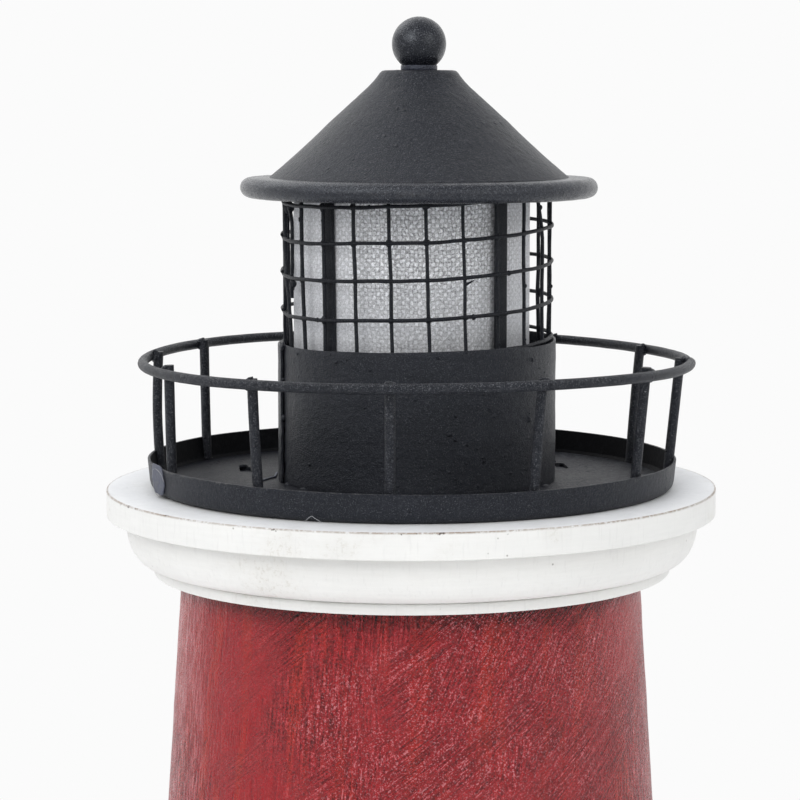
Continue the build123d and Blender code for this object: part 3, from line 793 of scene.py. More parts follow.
def black_paint(name, grain, grit, dust=0.0, lift=1.0, gloss=0.42, edges=(), relief=0.30, flecks=0.15, shine=0.5):
    """Sandy black paint on iron, worn pale along its edges, which on the brim's bead is in part a painted
    highlight; dust and flecks may be a left and a right value, which on the deck paints shade on its left.
    """
    material, nodes, shader = new_material(name)
    place = nodes.place()
    tint = [channel * lift for channel in settings()[1].black]
    # A left and a right value grade the dust and flecks across the piece; on the deck this paints shade on its
    # left.
    if isinstance(dust, tuple):
        side = nodes.split(place)[0]
        dust, flecks = (nodes.ease(side, -60 * MM, 60 * MM, *ends) for ends in (dust, flecks))
    sand = nodes.group("Sandy paint", {
        "Place": place, "Colour": (*tint, 1), "Grain": grain, "Grit": grit, "Dust": dust, "Flecks": flecks,
        "Gloss": gloss,
    })
    paint = sand["Color"]
    if edges:
        _, radius, height = nodes.group("Round the axis", {"Place": place})
        # Pale worn edges are wear; on the brim's bead they also stand in as a painted highlight.
        wear_and_sheen = nodes.ease(nodes.noise(place, 260.0, 4.0, 0.7), 0.44, 0.66)
        for *ring, share in edges:
            worn = nodes.times(nodes.near_ring(radius, height, *ring), wear_and_sheen, share)
            paint = nodes.mix(worn, paint, (0.17, 0.165, 0.16))
    nodes.surface(shader, paint, sand["Roughness"], sand["Height"], relief * MM, shine)
    shader["Specular Tint"].default_value = (0.86, 0.92, 1.0, 1.0)
    return material


def shaded_black(name):
    """Darker, duller black on the tray's inner wall: a painted shade, where little light reaches."""
    material, nodes, shader = new_material(name)
    sand = nodes.group("Sandy paint", {
        "Place": nodes.place(), "Colour": (0.0062, 0.0065, 0.008, 1), "Grain": 0.7 * MM, "Grit": 0.3, "Dust": 0.04,
        "Flecks": 0.03, "Gloss": 0.62,
    })
    nodes.surface(shader, sand["Color"], sand["Roughness"], sand["Height"], 0.18 * MM, 0.12)
    return material


def diffuser_cloth(name):
    """Silver-grey woven sheet, smoother towards its sides and foot, with painted light towards its top and painted
    shade towards its foot.
    """
    material, nodes, shader = new_material(name)
    place = nodes.place()
    weave = nodes.group("Plain weave", {"Place": place, "Threads round": 178.0, "Pitch": 1.45 * MM})
    x, _, z = nodes.split(place)
    middle = nodes.ease(nodes.math("ABSOLUTE", nodes.plus(x, -5 * MM)), 16 * MM, 34 * MM, 1.0, 0.30)
    low, tall = foot("diffuser_sleeve"), top("diffuser_sleeve") - foot("diffuser_sleeve")
    strength = nodes.times(middle, nodes.ease(z, low + 0.52 * tall, low + 0.80 * tall, 0.45, 1.0))
    cloud = nodes.noise(place, 45.0, 3.0, 0.5)
    tone = nodes.plus(
        nodes.times(weave["Shade"], strength, 0.64),
        nodes.ease(cloud, 0.3, 0.7, -0.04, 0.04),
        # Lighter towards the top and darker towards the foot: painted light and shade.
        nodes.ease(z, low + 0.45 * tall, low + 0.92 * tall, -0.05, 0.12),
        nodes.ease(nodes.noise(place, 2100.0, 2.0, 0.7), 0.38, 0.62, -0.15, 0.15),
        1.0,
    )
    cloth = nodes.scaled((0.575, 0.583, 0.608), tone)
    nodes.surface(shader, cloth, 0.55, nodes.times(weave["Height"], strength), 0.22 * MM, 0.4)
    return material


def plain_finish(name, base, rough, metal=0.0, speck=0.12, scale=500.0, relief=0.03, stretch=(1.0, 1.0, 1.0)):
    """A moulded, plated or sawn finish with a fine uneven surface."""
    material, nodes, shader = new_material(name)
    grain = nodes.noise(nodes.vector("MULTIPLY", nodes.place(), stretch), scale, 4.0, 0.6)
    tone = nodes.scaled(base, nodes.ease(grain, 0.3, 0.7, 1.0 - speck, 1.0 + speck))
    nodes.surface(shader, tone, nodes.ease(grain, 0.3, 0.7, rough - 0.06, rough + 0.06), grain, relief * MM)
    shader["Metallic"].default_value = metal
    return material


def frosted_lens(name):
    """Frosted translucent plastic over the lamp's board."""
    material, nodes, shader = new_material(name)
    frost = nodes.noise(nodes.place(), 900.0, 3.0, 0.6)
    milky = nodes.mix(frost, (0.80, 0.79, 0.74), (0.90, 0.89, 0.86))
    nodes.surface(shader, milky, nodes.ease(frost, 0.3, 0.7, 0.30, 0.42), frost, 0.03 * MM)
    shader["Transmission Weight"].default_value = 0.35
    return material


# ---- steps ----------------------------------------------------------------------------------


class LighthouseStep:
    """What all the steps share."""

    bl_options = {"REGISTER", "UNDO"}


class LIGHTHOUSE_OT_groups(LighthouseStep, bpy.types.Operator):
    """Build the shared paint, weave and wear effects"""

    bl_idname = "lighthouse.groups"
    bl_label = "Shared effects"

    def execute(self, context):
        build_round_group()
        build_stroke_group()
        build_sand_group()
        build_ring_group()
        build_weave_group()
        return {"FINISHED"}


# ---- wood -----------------------------------------------------------------------------------


class LIGHTHOUSE_OT_base(LighthouseStep, bpy.types.Operator):
    """Turn the plinth and the moulding on it"""

    bl_idname = "lighthouse.base"
    bl_label = "Plinth and moulding"

    def execute(self, context):
        wood = settings()[0]
        rim, plinth_top, edge = reach("plinth"), top("plinth"), 3 * MM
        shoulder = reach("base_moulding")
        base_top = top("base_moulding")
        shelf = reach("tower_shell") + 2.4 * MM
        flare = shoulder - shelf
        paint = white_paint(
            "white_paint_base",
            edges=[(rim - 0.9 * MM, plinth_top - 0.9 * MM, 1.6 * MM, 0.5), (rim, 0.2 * MM, 0.8 * MM, 0.6)],
            # The corner rings are painted shade where the moulding meets the plinth and where the tower meets the
            # moulding.
            corners=[(shoulder, plinth_top, 3.5 * MM, 0.45), (reach("tower_shell"), base_top, 3.0 * MM, 0.5)],
            grimy=0.22,
        )
        plinth = turn("turned_plinth", soften([
            (0, 0), (rim, 0), *arc((rim - edge, plinth_top - edge), edge, 0, 90, 9), (0, plinth_top),
        ], wood.paint_edge))
        cut(plinth, *[
            added(
                "cone", "screw_sink", vertices=48, radius1=7.0 * MM, radius2=1.0 * MM, depth=6 * MM,
                location=polar(radians(45 + 90 * number), 78 * MM, 1.0 * MM),
            )
            for number in range(4)
        ])
        settle(plinth, paint, "lighthouse", "white_wood", "plinth")
        moulding = turn("turned_base_moulding", soften([
            (0, plinth_top), (shoulder, plinth_top), *arc((shelf, base_top - flare), flare, 0, 90, 10),
            (0, base_top),
        ], wood.paint_edge))
        settle(moulding, paint, "lighthouse", "white_wood", "base_moulding")
        return {"FINISHED"}


# How much smaller the tower's radius is at its top than at its foot.
TOWER_TAPER = 26.6 * MM


class LIGHTHOUSE_OT_tower(LighthouseStep, bpy.types.Operator):
    """Turn the tapered tower"""

    bl_idname = "lighthouse.tower"
    bl_label = "Tower"

    def execute(self, context):
        wood, _, sit = settings()
        low, high = foot("tower_shell"), top("tower_shell")
        wide, narrow = reach("tower_shell"), reach("tower_shell") - TOWER_TAPER
        outer = run((wide, low), (narrow, high), 90)
        inner = [(narrow - wood.tower_wall, high), (wide - wood.tower_wall, low), (wide, low)]
        tower = turn("turned_tower", outer + inner)
        roughen(tower, 0.35 * MM, 9 * MM, 3)
        shift(tower, sit.tower_shift)
        settle(tower, red_paint("red_paint"), "lighthouse", "red_wood", "tower_shell")
        return {"FINISHED"}


# How much the cornice rises for each unit of length to its right.
CORNICE_TIP = 0.003


def tipped(point):
    """The cornice sits a little higher on its right."""
    return point + UP * CORNICE_TIP * point.x


class LIGHTHOUSE_OT_cornice(LighthouseStep, bpy.types.Operator):
    """Turn the cornice: a moulding with an ovolo, a groove and a band, under a round board"""

    bl_idname = "lighthouse.cornice"
    bl_label = "Cornice"

    def execute(self, context):
        wood, iron, _ = settings()
        low, high = foot("cornice_moulding"), top("cornice_moulding")
        board, board_top = reach("cornice_board"), top("cornice_board")
        swell = reach("cornice_moulding")
        band = swell - wood.band_inset
        toe = band + wood.ovolo_toe
        band_top = low + wood.band_height
        toe_level = band_top + wood.groove_height
        bulge = high - wood.ovolo_drop
        ovolo = [
            (toe + (swell - toe) * sin(radians(9 * step)), bulge - (bulge - toe_level) * cos(radians(9 * step)))
            for step in range(11)
        ]
        paint = white_paint(
            "white_paint_cornice",
            edges=[(board - 0.1 * MM, board_top - 0.1 * MM, 0.78 * MM, 0.95)],
            # The corner rings are painted shade: under the board, in the groove, at the ovolo's toe and round the
            # tray's foot.
            corners=[
                (swell, high, 3.4 * MM, 0.14), (band, band_top, 1.4 * MM, 0.30), (toe, toe_level, 1.0 * MM, 0.25),
                (reach("gallery_tray") - iron.tray_flare, board_top, 3.5 * MM, 0.18),
            ],
            grimy=0.40, tip=CORNICE_TIP, lid=board_top,
        )
        moulding = turn("turned_cornice_moulding", soften([
            (0, low), (band, low), (band, band_top), (band - wood.groove_depth, band_top),
            (band - wood.groove_depth, toe_level), *ovolo, (swell, high), (0, high),
        ], wood.paint_edge))
        reshape(moulding, tipped)
        shift(moulding, 0.3 * MM)
        settle(moulding, paint, "lighthouse", "white_wood", "cornice_moulding")
        fascia = run((board, high), (board, board_top), 14)
        disc = turn("turned_cornice_board", soften([
            (0, high), *fascia, (board - 6 * MM, board_top), (0, board_top),
        ], wood.paint_edge), segments=384)
        roughen(disc, 0.12 * MM, 5 * MM, 3)
        reshape(disc, tipped)
        settle(disc, paint, "lighthouse", "white_wood", "cornice_board")
        return {"FINISHED"}


# ---- iron gallery ---------------------------------------------------------------------------


# The turn and half width in degrees of the folded lap on the tray's wall.
LAP_TURN, LAP_HALF = -69.5, 4.4
# Dry threads of glue on the tray: turn from the front, height over its foot and how far out, in millimetres.
GLUE_THREADS = (
    (
        (-73.6, 6.0, 0.55), (-72.6, 9.0, 0.5), (-70.2, 9.9, 0.3), (-67.6, 9.6, 0.5), (-65.6, 8.4, 0.5),
        (-64.8, 6.6, 0.5),
    ),
    ((-73.4, 4.6, 0.5), (-72.8, 2.6, 0.6), (-71.2, 1.0, 0.7), (-68.6, 0.4, 0.6)),
    ((-22.1, 0.3, 0.3), (-21.1, 1.7, 0.5), (-20.5, 2.2, 0.6), (-19.9, 1.5, 0.6), (-18.5, 0.2, 0.3)),
)


def tray_lap(iron, toe, low, high):
    """The folded lap on the tray's wall, with its corners round, laid against the wall."""
    middle, half_lap = radians(LAP_TURN), radians(LAP_HALF)
    lap = draw("tray_lap", [polar(middle + half_lap * (step / 4 - 1), toe, low + 1.2 * MM) for step in range(9)])
    select_mesh()
    tall = high - low - 0.1 * MM
    extrude((0, 0, tall / 8), 8)
    leave_edit()

    def against_wall(point):
        share = (point.z - low - 1.2 * MM) / tall
        aside = (round_from_front(point) - middle) / half_lap
        pinch = 1 - 0.40 * abs(2 * share - 1) ** 3 + 0.16 * noise.noise(Vector((point.z * 420, aside, 2)))
        out = toe + iron.tray_flare * share + 0.25 * MM + 0.30 * MM * noise.noise(point * 400)
        return polar(middle + aside * pinch * half_lap, out, point.z)

    reshape(lap, against_wall)
    apply(lap, "SOLIDIFY", thickness=0.6 * MM, offset=0)
    round_edges(lap, 0.24 * MM, 3, 50)
    smooth(lap, 60)
    return lap


class LIGHTHOUSE_OT_gallery(LighthouseStep, bpy.types.Operator):
    """Press the gallery tray and cut its deck plate"""

    bl_idname = "lighthouse.gallery"
    bl_label = "Gallery tray and deck"

    def execute(self, context):
        _, iron, sit = settings()
        low, high = foot("gallery_tray"), top("gallery_tray")
        rim = reach("gallery_tray")
        toe = rim - iron.tray_flare
        corner = iron.tray_corner
        paint = black_paint(
            "black_paint_tray", grain=0.5 * MM, grit=0.5, dust=0.05, lift=1.0, gloss=0.42,
            edges=[(rim - 0.4 * MM, high, 0.8 * MM, 0.5)], relief=0.45, flecks=0.6, shine=0.32,
        )
        tray = turn("pressed_tray", [
            (0, low), *arc((toe - corner, low + corner), corner, -90, -8, 8),
            *run((toe + 0.1 * MM, low + corner), (rim, high), 6), (rim - iron.sheet * 0.5, high + 0.12 * MM),
            (rim - iron.sheet, high), (toe - iron.sheet, low + corner), (toe - corner, low + iron.sheet),
            (0, low + iron.sheet),
        ])

        def sunk(point):
            """The rim dips at the front and a little on the right."""
            turned = round_from_front(point)
            dip = 0.62 * hill(turned, 0.06, 0.45) + 0.30 * max(0.0, sin(turned)) - 0.25 * noise.noise(point * 28)
            return point - UP * MM * dip * max(0.0, (point.z - low - 3 * MM) / (high - low - 3 * MM))

        reshape(tray, sunk)
        lap = tray_lap(iron, toe, low, high)
        bare = len(tray.data.polygons)
        threads = []
        for spots in GLUE_THREADS:
            line = [
                polar(radians(turned), toe + (proud + 0.08 * up) * MM, low + up * MM)
                for turned, up, proud in spots
            ]
            threads.append(rod("glue_thread", line, 0.2 * MM, 1))
        solid = bare + len(lap.data.polygons)
        tray = join("pressed_tray", [tray, lap, *threads])
        shift(tray, sit.tray_shift)
        settle(tray, paint, "lighthouse", "black_metal", "gallery_tray")
        # The tray's inward faces get a darker black: painted shade.
        tray.data.materials.append(shaded_black("black_paint_tray_inside_shade"))
        dusty = black_paint(
            "dusty_paint_lap", grain=0.6 * MM, grit=0.7, dust=0.95, lift=9.0, gloss=0.5, relief=0.9, flecks=1.0,
        )
        tray.data.materials.append(dusty)
        tray.data.materials.append(plain_finish(
            "glue_thread", (0.34, 0.345, 0.36), rough=0.40, metal=0.0, speck=0.15, scale=900.0, relief=0.05,
        ))
        # The lap and threads take their own paints; the wall's inward faces take the darker black, a painted
        # shade.
        for face in tray.data.polygons:
            outward = face.center.x * face.normal.x + face.center.y * face.normal.y
            if face.index >= bare:
                face.material_index = 2 if face.index < solid else 3
            elif outward < -0.3 * hypot(face.center.x, face.center.y) and face.center.z > low + iron.sheet:
                face.material_index = 1
        plate, deck, under = reach("gallery_deck"), top("gallery_deck"), foot("gallery_deck")
        disc = turn("deck_plate", soften([
            (0, under), (plate - 1.0 * MM, under), (plate, under + 1.0 * MM), (plate, deck), (0, deck),
        ], 0.15 * MM))
        slots = []
        half = (iron.slot_length - iron.slot_width) / 2
        pair = Matrix.Translation((-iron.slot_aside, iron.slot_back, 0)) @ Matrix.Rotation(iron.slot_turn, 4, "Z")
        for side in (-1, 1):
            slot = added(
                "cylinder", "slot_cutter", vertices=32, radius=iron.slot_width / 2, depth=3 * (deck - under),
                location=(0, 0, (deck + under) / 2),
            )
            reshape(slot, lambda point: point + Vector((0, half if point.y > 0 else -half, 0)))
            slot.data.transform(pair @ Matrix.Translation((side * iron.slot_offset, 0, 0)))
            slots.append(slot)
        cut(disc, *slots)
        burr = lump("slot_burr", (1.9 * MM, 1.5 * MM, 0.8 * MM), 7)
        burr.data.transform(pair @ Matrix.Translation((-iron.slot_offset - 0.4 * MM, half + 3.2 * MM, deck)))
        ridge = rod("paint_ridge", [
            Vector((x * MM, y * MM, deck + 0.2 * MM))
            for x, y in ((-53.0, -9.0), (-50.9, -4.0), (-48.6, 0.5), (-48.4, 11.0))
        ], 0.9 * MM)
        bare = len(disc.data.polygons) + len(burr.data.polygons)
        disc = join("deck_plate", [disc, burr, ridge])
        shift(disc, sit.tray_shift)
        # Less dust and fewer flecks on the deck's left keep it darker there: painted shade.
        paint = black_paint(
            "black_paint_deck", grain=0.7 * MM, grit=0.8, dust=(0.0, 0.60), lift=0.8, gloss=0.45, relief=0.55,
            flecks=(0.08, 0.36), shine=0.15,
        )
        settle(disc, paint, "lighthouse", "black_metal", "gallery_deck")
        disc.data.materials.append(dusty)
        for face in disc.data.polygons[bare:]:
            face.material_index = 1
        return {"FINISHED"}


# Where the twelve rods stand, in degrees from the front, and how far some feet turn or some heads stand up.
ROD_TURNS = (-5.5, 26.0, 55.7, 86.9, 117.0, 146.0, 175.0, 205.4, 237.4, 262.0, 295.1, 324.5)
ROD_TWISTS = {0: 0.9, 1: 0.2, 2: 0.6, 8: -1.1, 11: 1.6}
ROD_PROUD = {2: 0.8, 10: 0.7}
BOWED_ROD = 9


class LIGHTHOUSE_OT_railing(LighthouseStep, bpy.types.Operator):
    """Bend the rail, stand its twelve rods in the tray and weld them"""

    bl_idname = "lighthouse.railing"
    bl_label = "Railing"

    def execute(self, context):
        sit = settings()[2]
        thick = top("rail_ring") - foot("rail_ring")
        level = foot("rail_ring") + thick / 2
        radius = reach("rail_ring") - thick / 2
        deck = top("gallery_deck")
        paint = black_paint(
            "black_paint_rods", grain=0.42 * MM, grit=0.7, dust=0.12, lift=0.85, gloss=0.42, relief=0.65,
            flecks=1.0, shine=0.36,
        )

        def rail_rise(angle):
            """The rail's height round its ring, as it sways and dips."""
            sway = 0.10 - 0.46 * sin(angle) - 0.14 * cos(angle) + 0.575 * sin(2 * angle)
            for middle, half_width, lift in ((-88, 40, -0.95), (68, 26, -0.45), (145, 25, 0.50)):
                off = angle - radians(middle)
                sway += lift * hill(atan2(sin(off), cos(off)), 0.0, radians(half_width))
            return level + sway * MM + 0.10 * MM * noise.noise(Vector((cos(angle), sin(angle), 3)) * 2.2)

        start = radians(86)
        points = []
        for step in range(121):
            angle = start + 2 * pi * step / 120
            seam = hill(step, 120 * (step > 60), 2.2)
            points.append(polar(angle, radius + seam * 0.5 * MM * (1 if step > 60 else -1), rail_rise(angle)))
        rail = rod("rail_rod", points, thick, 5)
        roughen(rail, 0.16 * MM, 1.6 * MM)
        weld = lump("ring_weld", (2.4 * MM, 1.9 * MM, 1.95 * MM), 4)
        weld.data.transform(facing(start, radius, rail_rise(start)))
        rail = join("rail_rod", [rail, weld])
        shift(rail, sit.rail_shift)
        settle(rail, paint, "lighthouse", "black_metal", "rail_ring")

        low_radius = reach("gallery_deck") + 1.54 * MM - thick / 2
        high_radius = radius - thick - 0.05 * MM
        dice = random.Random(11)
        for number, turned_by in enumerate(ROD_TURNS):
            angle = radians(turned_by)
            crown = rail_rise(angle) + (1.7 + ROD_PROUD.get(number, 0) + dice.uniform(-0.2, 0.2)) * MM
            bow = dice.uniform(-0.35, 0.35) * MM
            twist = radians(ROD_TWISTS.get(number, 0))
            outer = 1.35 * MM * (1 - cos(angle))
            line = []
            for step in range(9):
                share = step / 8
                along = (low_radius + outer) * (1 - share) + (high_radius + 0.26 * outer) * share
                along += (number == BOWED_ROD) * 0.9 * MM * sin(pi * share)
                turned = angle + twist * (1 - share) + bow / along * sin(pi * share)
                line.append(polar(turned, along, deck + (crown - deck) * share))
            bar = rod("rod_%02d" % (number + 1), line, thick, 5)
            roughen(bar, 0.14 * MM, 1.5 * MM)
            pieces = [bar]
            spots = [
                (high_radius + thick * 0.45, rail_rise(angle) - 0.9 * MM, (1.9, 1.3, 1.2)),
                (high_radius + thick * 0.45, rail_rise(angle) + 1.5 * MM, (1.7, 1.2, 0.8)),
                (low_radius + outer + 0.4 * MM, deck + 0.2 * MM, (2.3, 2.1, 0.9)),
                (low_radius + outer + thick * 0.45, deck + 7.0 * MM, (1.6, 0.8, 1.0)),
            ]
            for spot, (out, height, size) in enumerate(spots):
                size = [value * MM * dice.uniform(0.85, 1.15) for value in size]
                blob = lump("rod_weld", size, number * 5 + spot)
                spread = angle + twist * (spot > 1) + dice.uniform(-0.006, 0.006)
                blob.data.transform(facing(spread, out, height, dice.uniform(-0.5, 0.5)))
                pieces.append(blob)
            bar = join("rod_%02d" % (number + 1), pieces)

            def leant(point):
                """The rod's head goes aside with the rail, and its foot stays."""
                return point + Vector((sit.rail_shift * max(0, (point.z - deck) / (level - deck)), 0, 0))

            reshape(bar, leant)
            settle(bar, paint, "lighthouse", "black_metal", "baluster_%02d" % (number + 1))
        return {"FINISHED"}


# ---- iron lantern ---------------------------------------------------------------------------


def roll_sheet(name, plan, low, high, rise, thickness, steps):
    """A sheet rolled up along a plan of (angle, outside radius) points and stood on end."""
    line = draw(name, [polar(angle, radius, low) for angle, radius in plan])
    select_mesh()
    extrude((0, 0, (high - low) / steps), steps)
    leave_edit()

    def lifted(point):
        share = (point.z - low) / (high - low)
        return point + UP * rise(round_from_front(point)) * max(0, share) ** 2

    reshape(line, lifted)
    face_out(line)
    apply(line, "SOLIDIFY", thickness=thickness, offset=0, use_even_offset=True)
    round_edges(line, thickness * 0.22, 2, 55)
    smooth(line, 40)
    return line


# The four loose uprights where the mesh laps: turns from the front, and how far up they are there.
LAP_WIRES = (
    ((-89, 0.0), (-88, 0.5), (-89, 0.72), (-88, 0.99)),
    ((-68, 0.66), (-66.5, 0.80), (-67, 0.90), (-71, 0.99)),
    ((-69, 0.0), (-69, 0.52), (-72, 0.64), (-79, 0.76), (-87, 0.86)),
    ((-86, 0.0), (-88, 0.50), (-83, 0.66), (-76, 0.74), (-80.5, 0.84), (-81.5, 0.99)),
)


class LIGHTHOUSE_OT_drum(LighthouseStep, bpy.types.Operator):
    """Roll the lantern's drum, tack its lap and leave lumps of paint on it"""

    bl_idname = "lighthouse.drum"
    bl_label = "Lantern drum"

    def execute(self, context):
        _, iron, sit = settings()
        low, high = foot("lantern_drum"), top("lantern_drum")
        body = reach("lantern_drum") - iron.sheet / 2
        free_edge = radians(-75.5)
        start, end = radians(-101), radians(-75.5 + 360)

        def plan_radius(angle):
            """The drum's radius, which grows where its end laps over its start."""
            curl = max(0.0, (angle - radians(277)) / radians(8))
            over = smoothly(climb(angle, radians(243), radians(13)))
            return body + over * (iron.sheet + 0.22 * MM) + curl * 0.10 * MM

        def rise(angle):
            """The sheet's upper edge isn't level."""
            uneven = noise.noise(Vector((sin(angle), cos(angle), 0)) * 3)
            return (0.15 + 0.95 * sin(angle) - 0.85 * hill(angle, radians(68), 0.42) + 0.25 * uneven) * MM

        count = 150
        angles = [start + (end - start) * step / count for step in range(count + 1)]
        plan = [(angle, plan_radius(angle)) for angle in angles]
        drum = roll_sheet("rolled_drum", plan, low, high, rise, iron.sheet, 24)

        def hammered(point):
            """Shallow hollows, longer round the drum than up it, and an uneven free edge."""
            wave = noise.noise(Vector((point.x * 55, point.y * 55, point.z * 190)))
            ragged = noise.noise(Vector((3, 5, point.z * 230)))
            free = hill(round_from_front(point), free_edge, 0.03) * 0.35 * MM * ragged
            out = Vector((point.x, point.y, 0)).normalized() * (0.13 * MM * wave + free)
            return point + out

        reshape(drum, hammered)
        dice = random.Random(5)
        tacks = []
        for height, size in ((22.7, 1.2), (47.8, 1.5), (36.2, 0.7)):
            tack = lump("drum_tack", [size * MM, 0.75 * size * MM, 1.1 * size * MM], height)
            tack.data.transform(facing(end, body + 0.9 * MM, low + height * MM, dice.uniform(-0.5, 0.5)))
            tacks.append(tack)
        for number in range(14):
            seam = radians(-128 + 15 * number + dice.uniform(-4, 4))
            size = dice.uniform(0.5, 1.3)
            bead = lump("drum_bead", [2.2 * size * MM, 0.9 * size * MM, 0.6 * size * MM], number)
            bead.data.transform(facing(seam, body + iron.sheet / 2, low, 0))
            tacks.append(bead)
        for number in range(46):
            size = 0.32 + 0.75 * dice.random() ** 3
            spot = lump("paint_spot", [size * MM, 0.6 * size * MM, size * MM * dice.uniform(0.7, 1.3)], number)
            height = low + (high - low - 3 * MM) * dice.random() + 1.5 * MM
            turned, tilt = radians(dice.uniform(-68, 285)), dice.uniform(-1, 1)
            spot.data.transform(facing(turned, body + iron.sheet / 2, height, tilt))
            tacks.append(spot)
        drum = join("rolled_drum", [drum, *tacks])
        shift(drum, sit.drum_shift)
        paint = black_paint(
            "black_paint_drum", grain=0.5 * MM, grit=0.5, dust=0.03, lift=0.85, gloss=0.38, relief=0.50,
            flecks=0.45, shine=0.42,
        )
        settle(drum, paint, "lighthouse", "black_metal", "lantern_drum")
        return {"FINISHED"}


# How far each hoop lies off its even place, in millimetres, from the lowest up.
HOOP_LIFTS = (-0.3, -0.3, -0.3, -0.3, -0.4, 0.25, 0.2, -0.2)
# The first upright's turn, and how far uprights are off their even turn, in degrees; the others by chance.
FIRST_UPRIGHT = 4.3
UPRIGHT_NUDGES = {
    0: -0.08, 1: -0.10, 3: -0.04, 4: 0.6, 5: 3.6, 6: -4.6, 7: -2.8, 16: 6.0, 19: 0.75, 21: 0.27, 22: 0.2,
}
# Uprights with a fault of their own, and the two that the loose ones at the lap stand in for.
BENT_TOP, WAVY, SKEWED = 4, 7, 19
AT_LAP = (17, 18)
# Blobs of paint at the lap: turn in degrees, how far under the top hoop in millimetres, and size.
LAP_BLOBS = ((-80, 0.6, 1.3), (-75, 1.6, 1.1), (-70, 0.7, 1.2), (-69, 28.5, 0.9), (-66, 27.0, 0.8))


def cage_point(sit, deck, roof, angle, radius, height):
    """Where a place on the wire cage comes to rest, as the cage leans and its hoops slope."""
    share = (height - deck) / (roof - deck)
    angle -= 2 * pi * (angle > pi)
    slope = (2.4 if sin(angle) > 0 else 2.0) * sin(angle)
    slope += -2.05 * cos(angle) + 0.45 * hill(angle, -0.30, 0.42)
    above = climb(share, 0.32, 0.12)
    spread = MM * above * (1.0 - 0.85 * hill(angle, -pi / 2, 0.5))
    flank = sin(angle) ** 2
    lean = MM * above * (min(0.4, 1.60 - 2.51 * share) * (1 - flank) + (0.10 if angle > 0 else -0.70) * flank)
    place = polar(angle, radius + spread, height + slope * MM * (0.35 + 0.65 * min(1, share * 1.6)))
    return place + Vector((sit.cage_shift + lean, 0, 0))


def upright_path(index, turned, deck, full):
    """An upright's (angle, height) places: one is wavy, one bent at its top and one askew at its foot."""
    path = []
    for step in range(29):
        height = deck + full * step / 28
        wave = noise.noise(Vector((index * 4.0, 0, height * 55)))
        angle = radians(turned) + wave * (0.022 if index == WAVY else 0.008)
        if index == BENT_TOP:
            angle -= radians(6.5) * max(0.0, (step - 23.5) / 4.5)
        if index == SKEWED:
            angle += radians(1.6) * max(0.0, (21 - step) / 6)
        path.append((angle, height))
    return path


def loose_path(corners, deck, full):
    """A loose upright's (angle, height) places, eased from corner to corner."""
    path = []
    for (angle, share), (next_angle, next_share) in zip(corners, corners[1:]):
        for step in range(6):
            turned = angle + (next_angle - angle) * smoothly(step / 6)
            path.append((radians(turned), deck + full * (share + (next_share - share) * (step / 6))))
    return path + [(radians(corners[-1][0]), deck + full * corners[-1][1])]


def drawn_out(point):
    """Draw a knot of weld out along both of the wires that cross in it."""
    flat = hypot(point.x, point.z) or 1.0
    return Vector((point.x, point.y, point.z)) * (flat / (abs(point.x) + abs(point.z) or 1.0)) ** 1.35


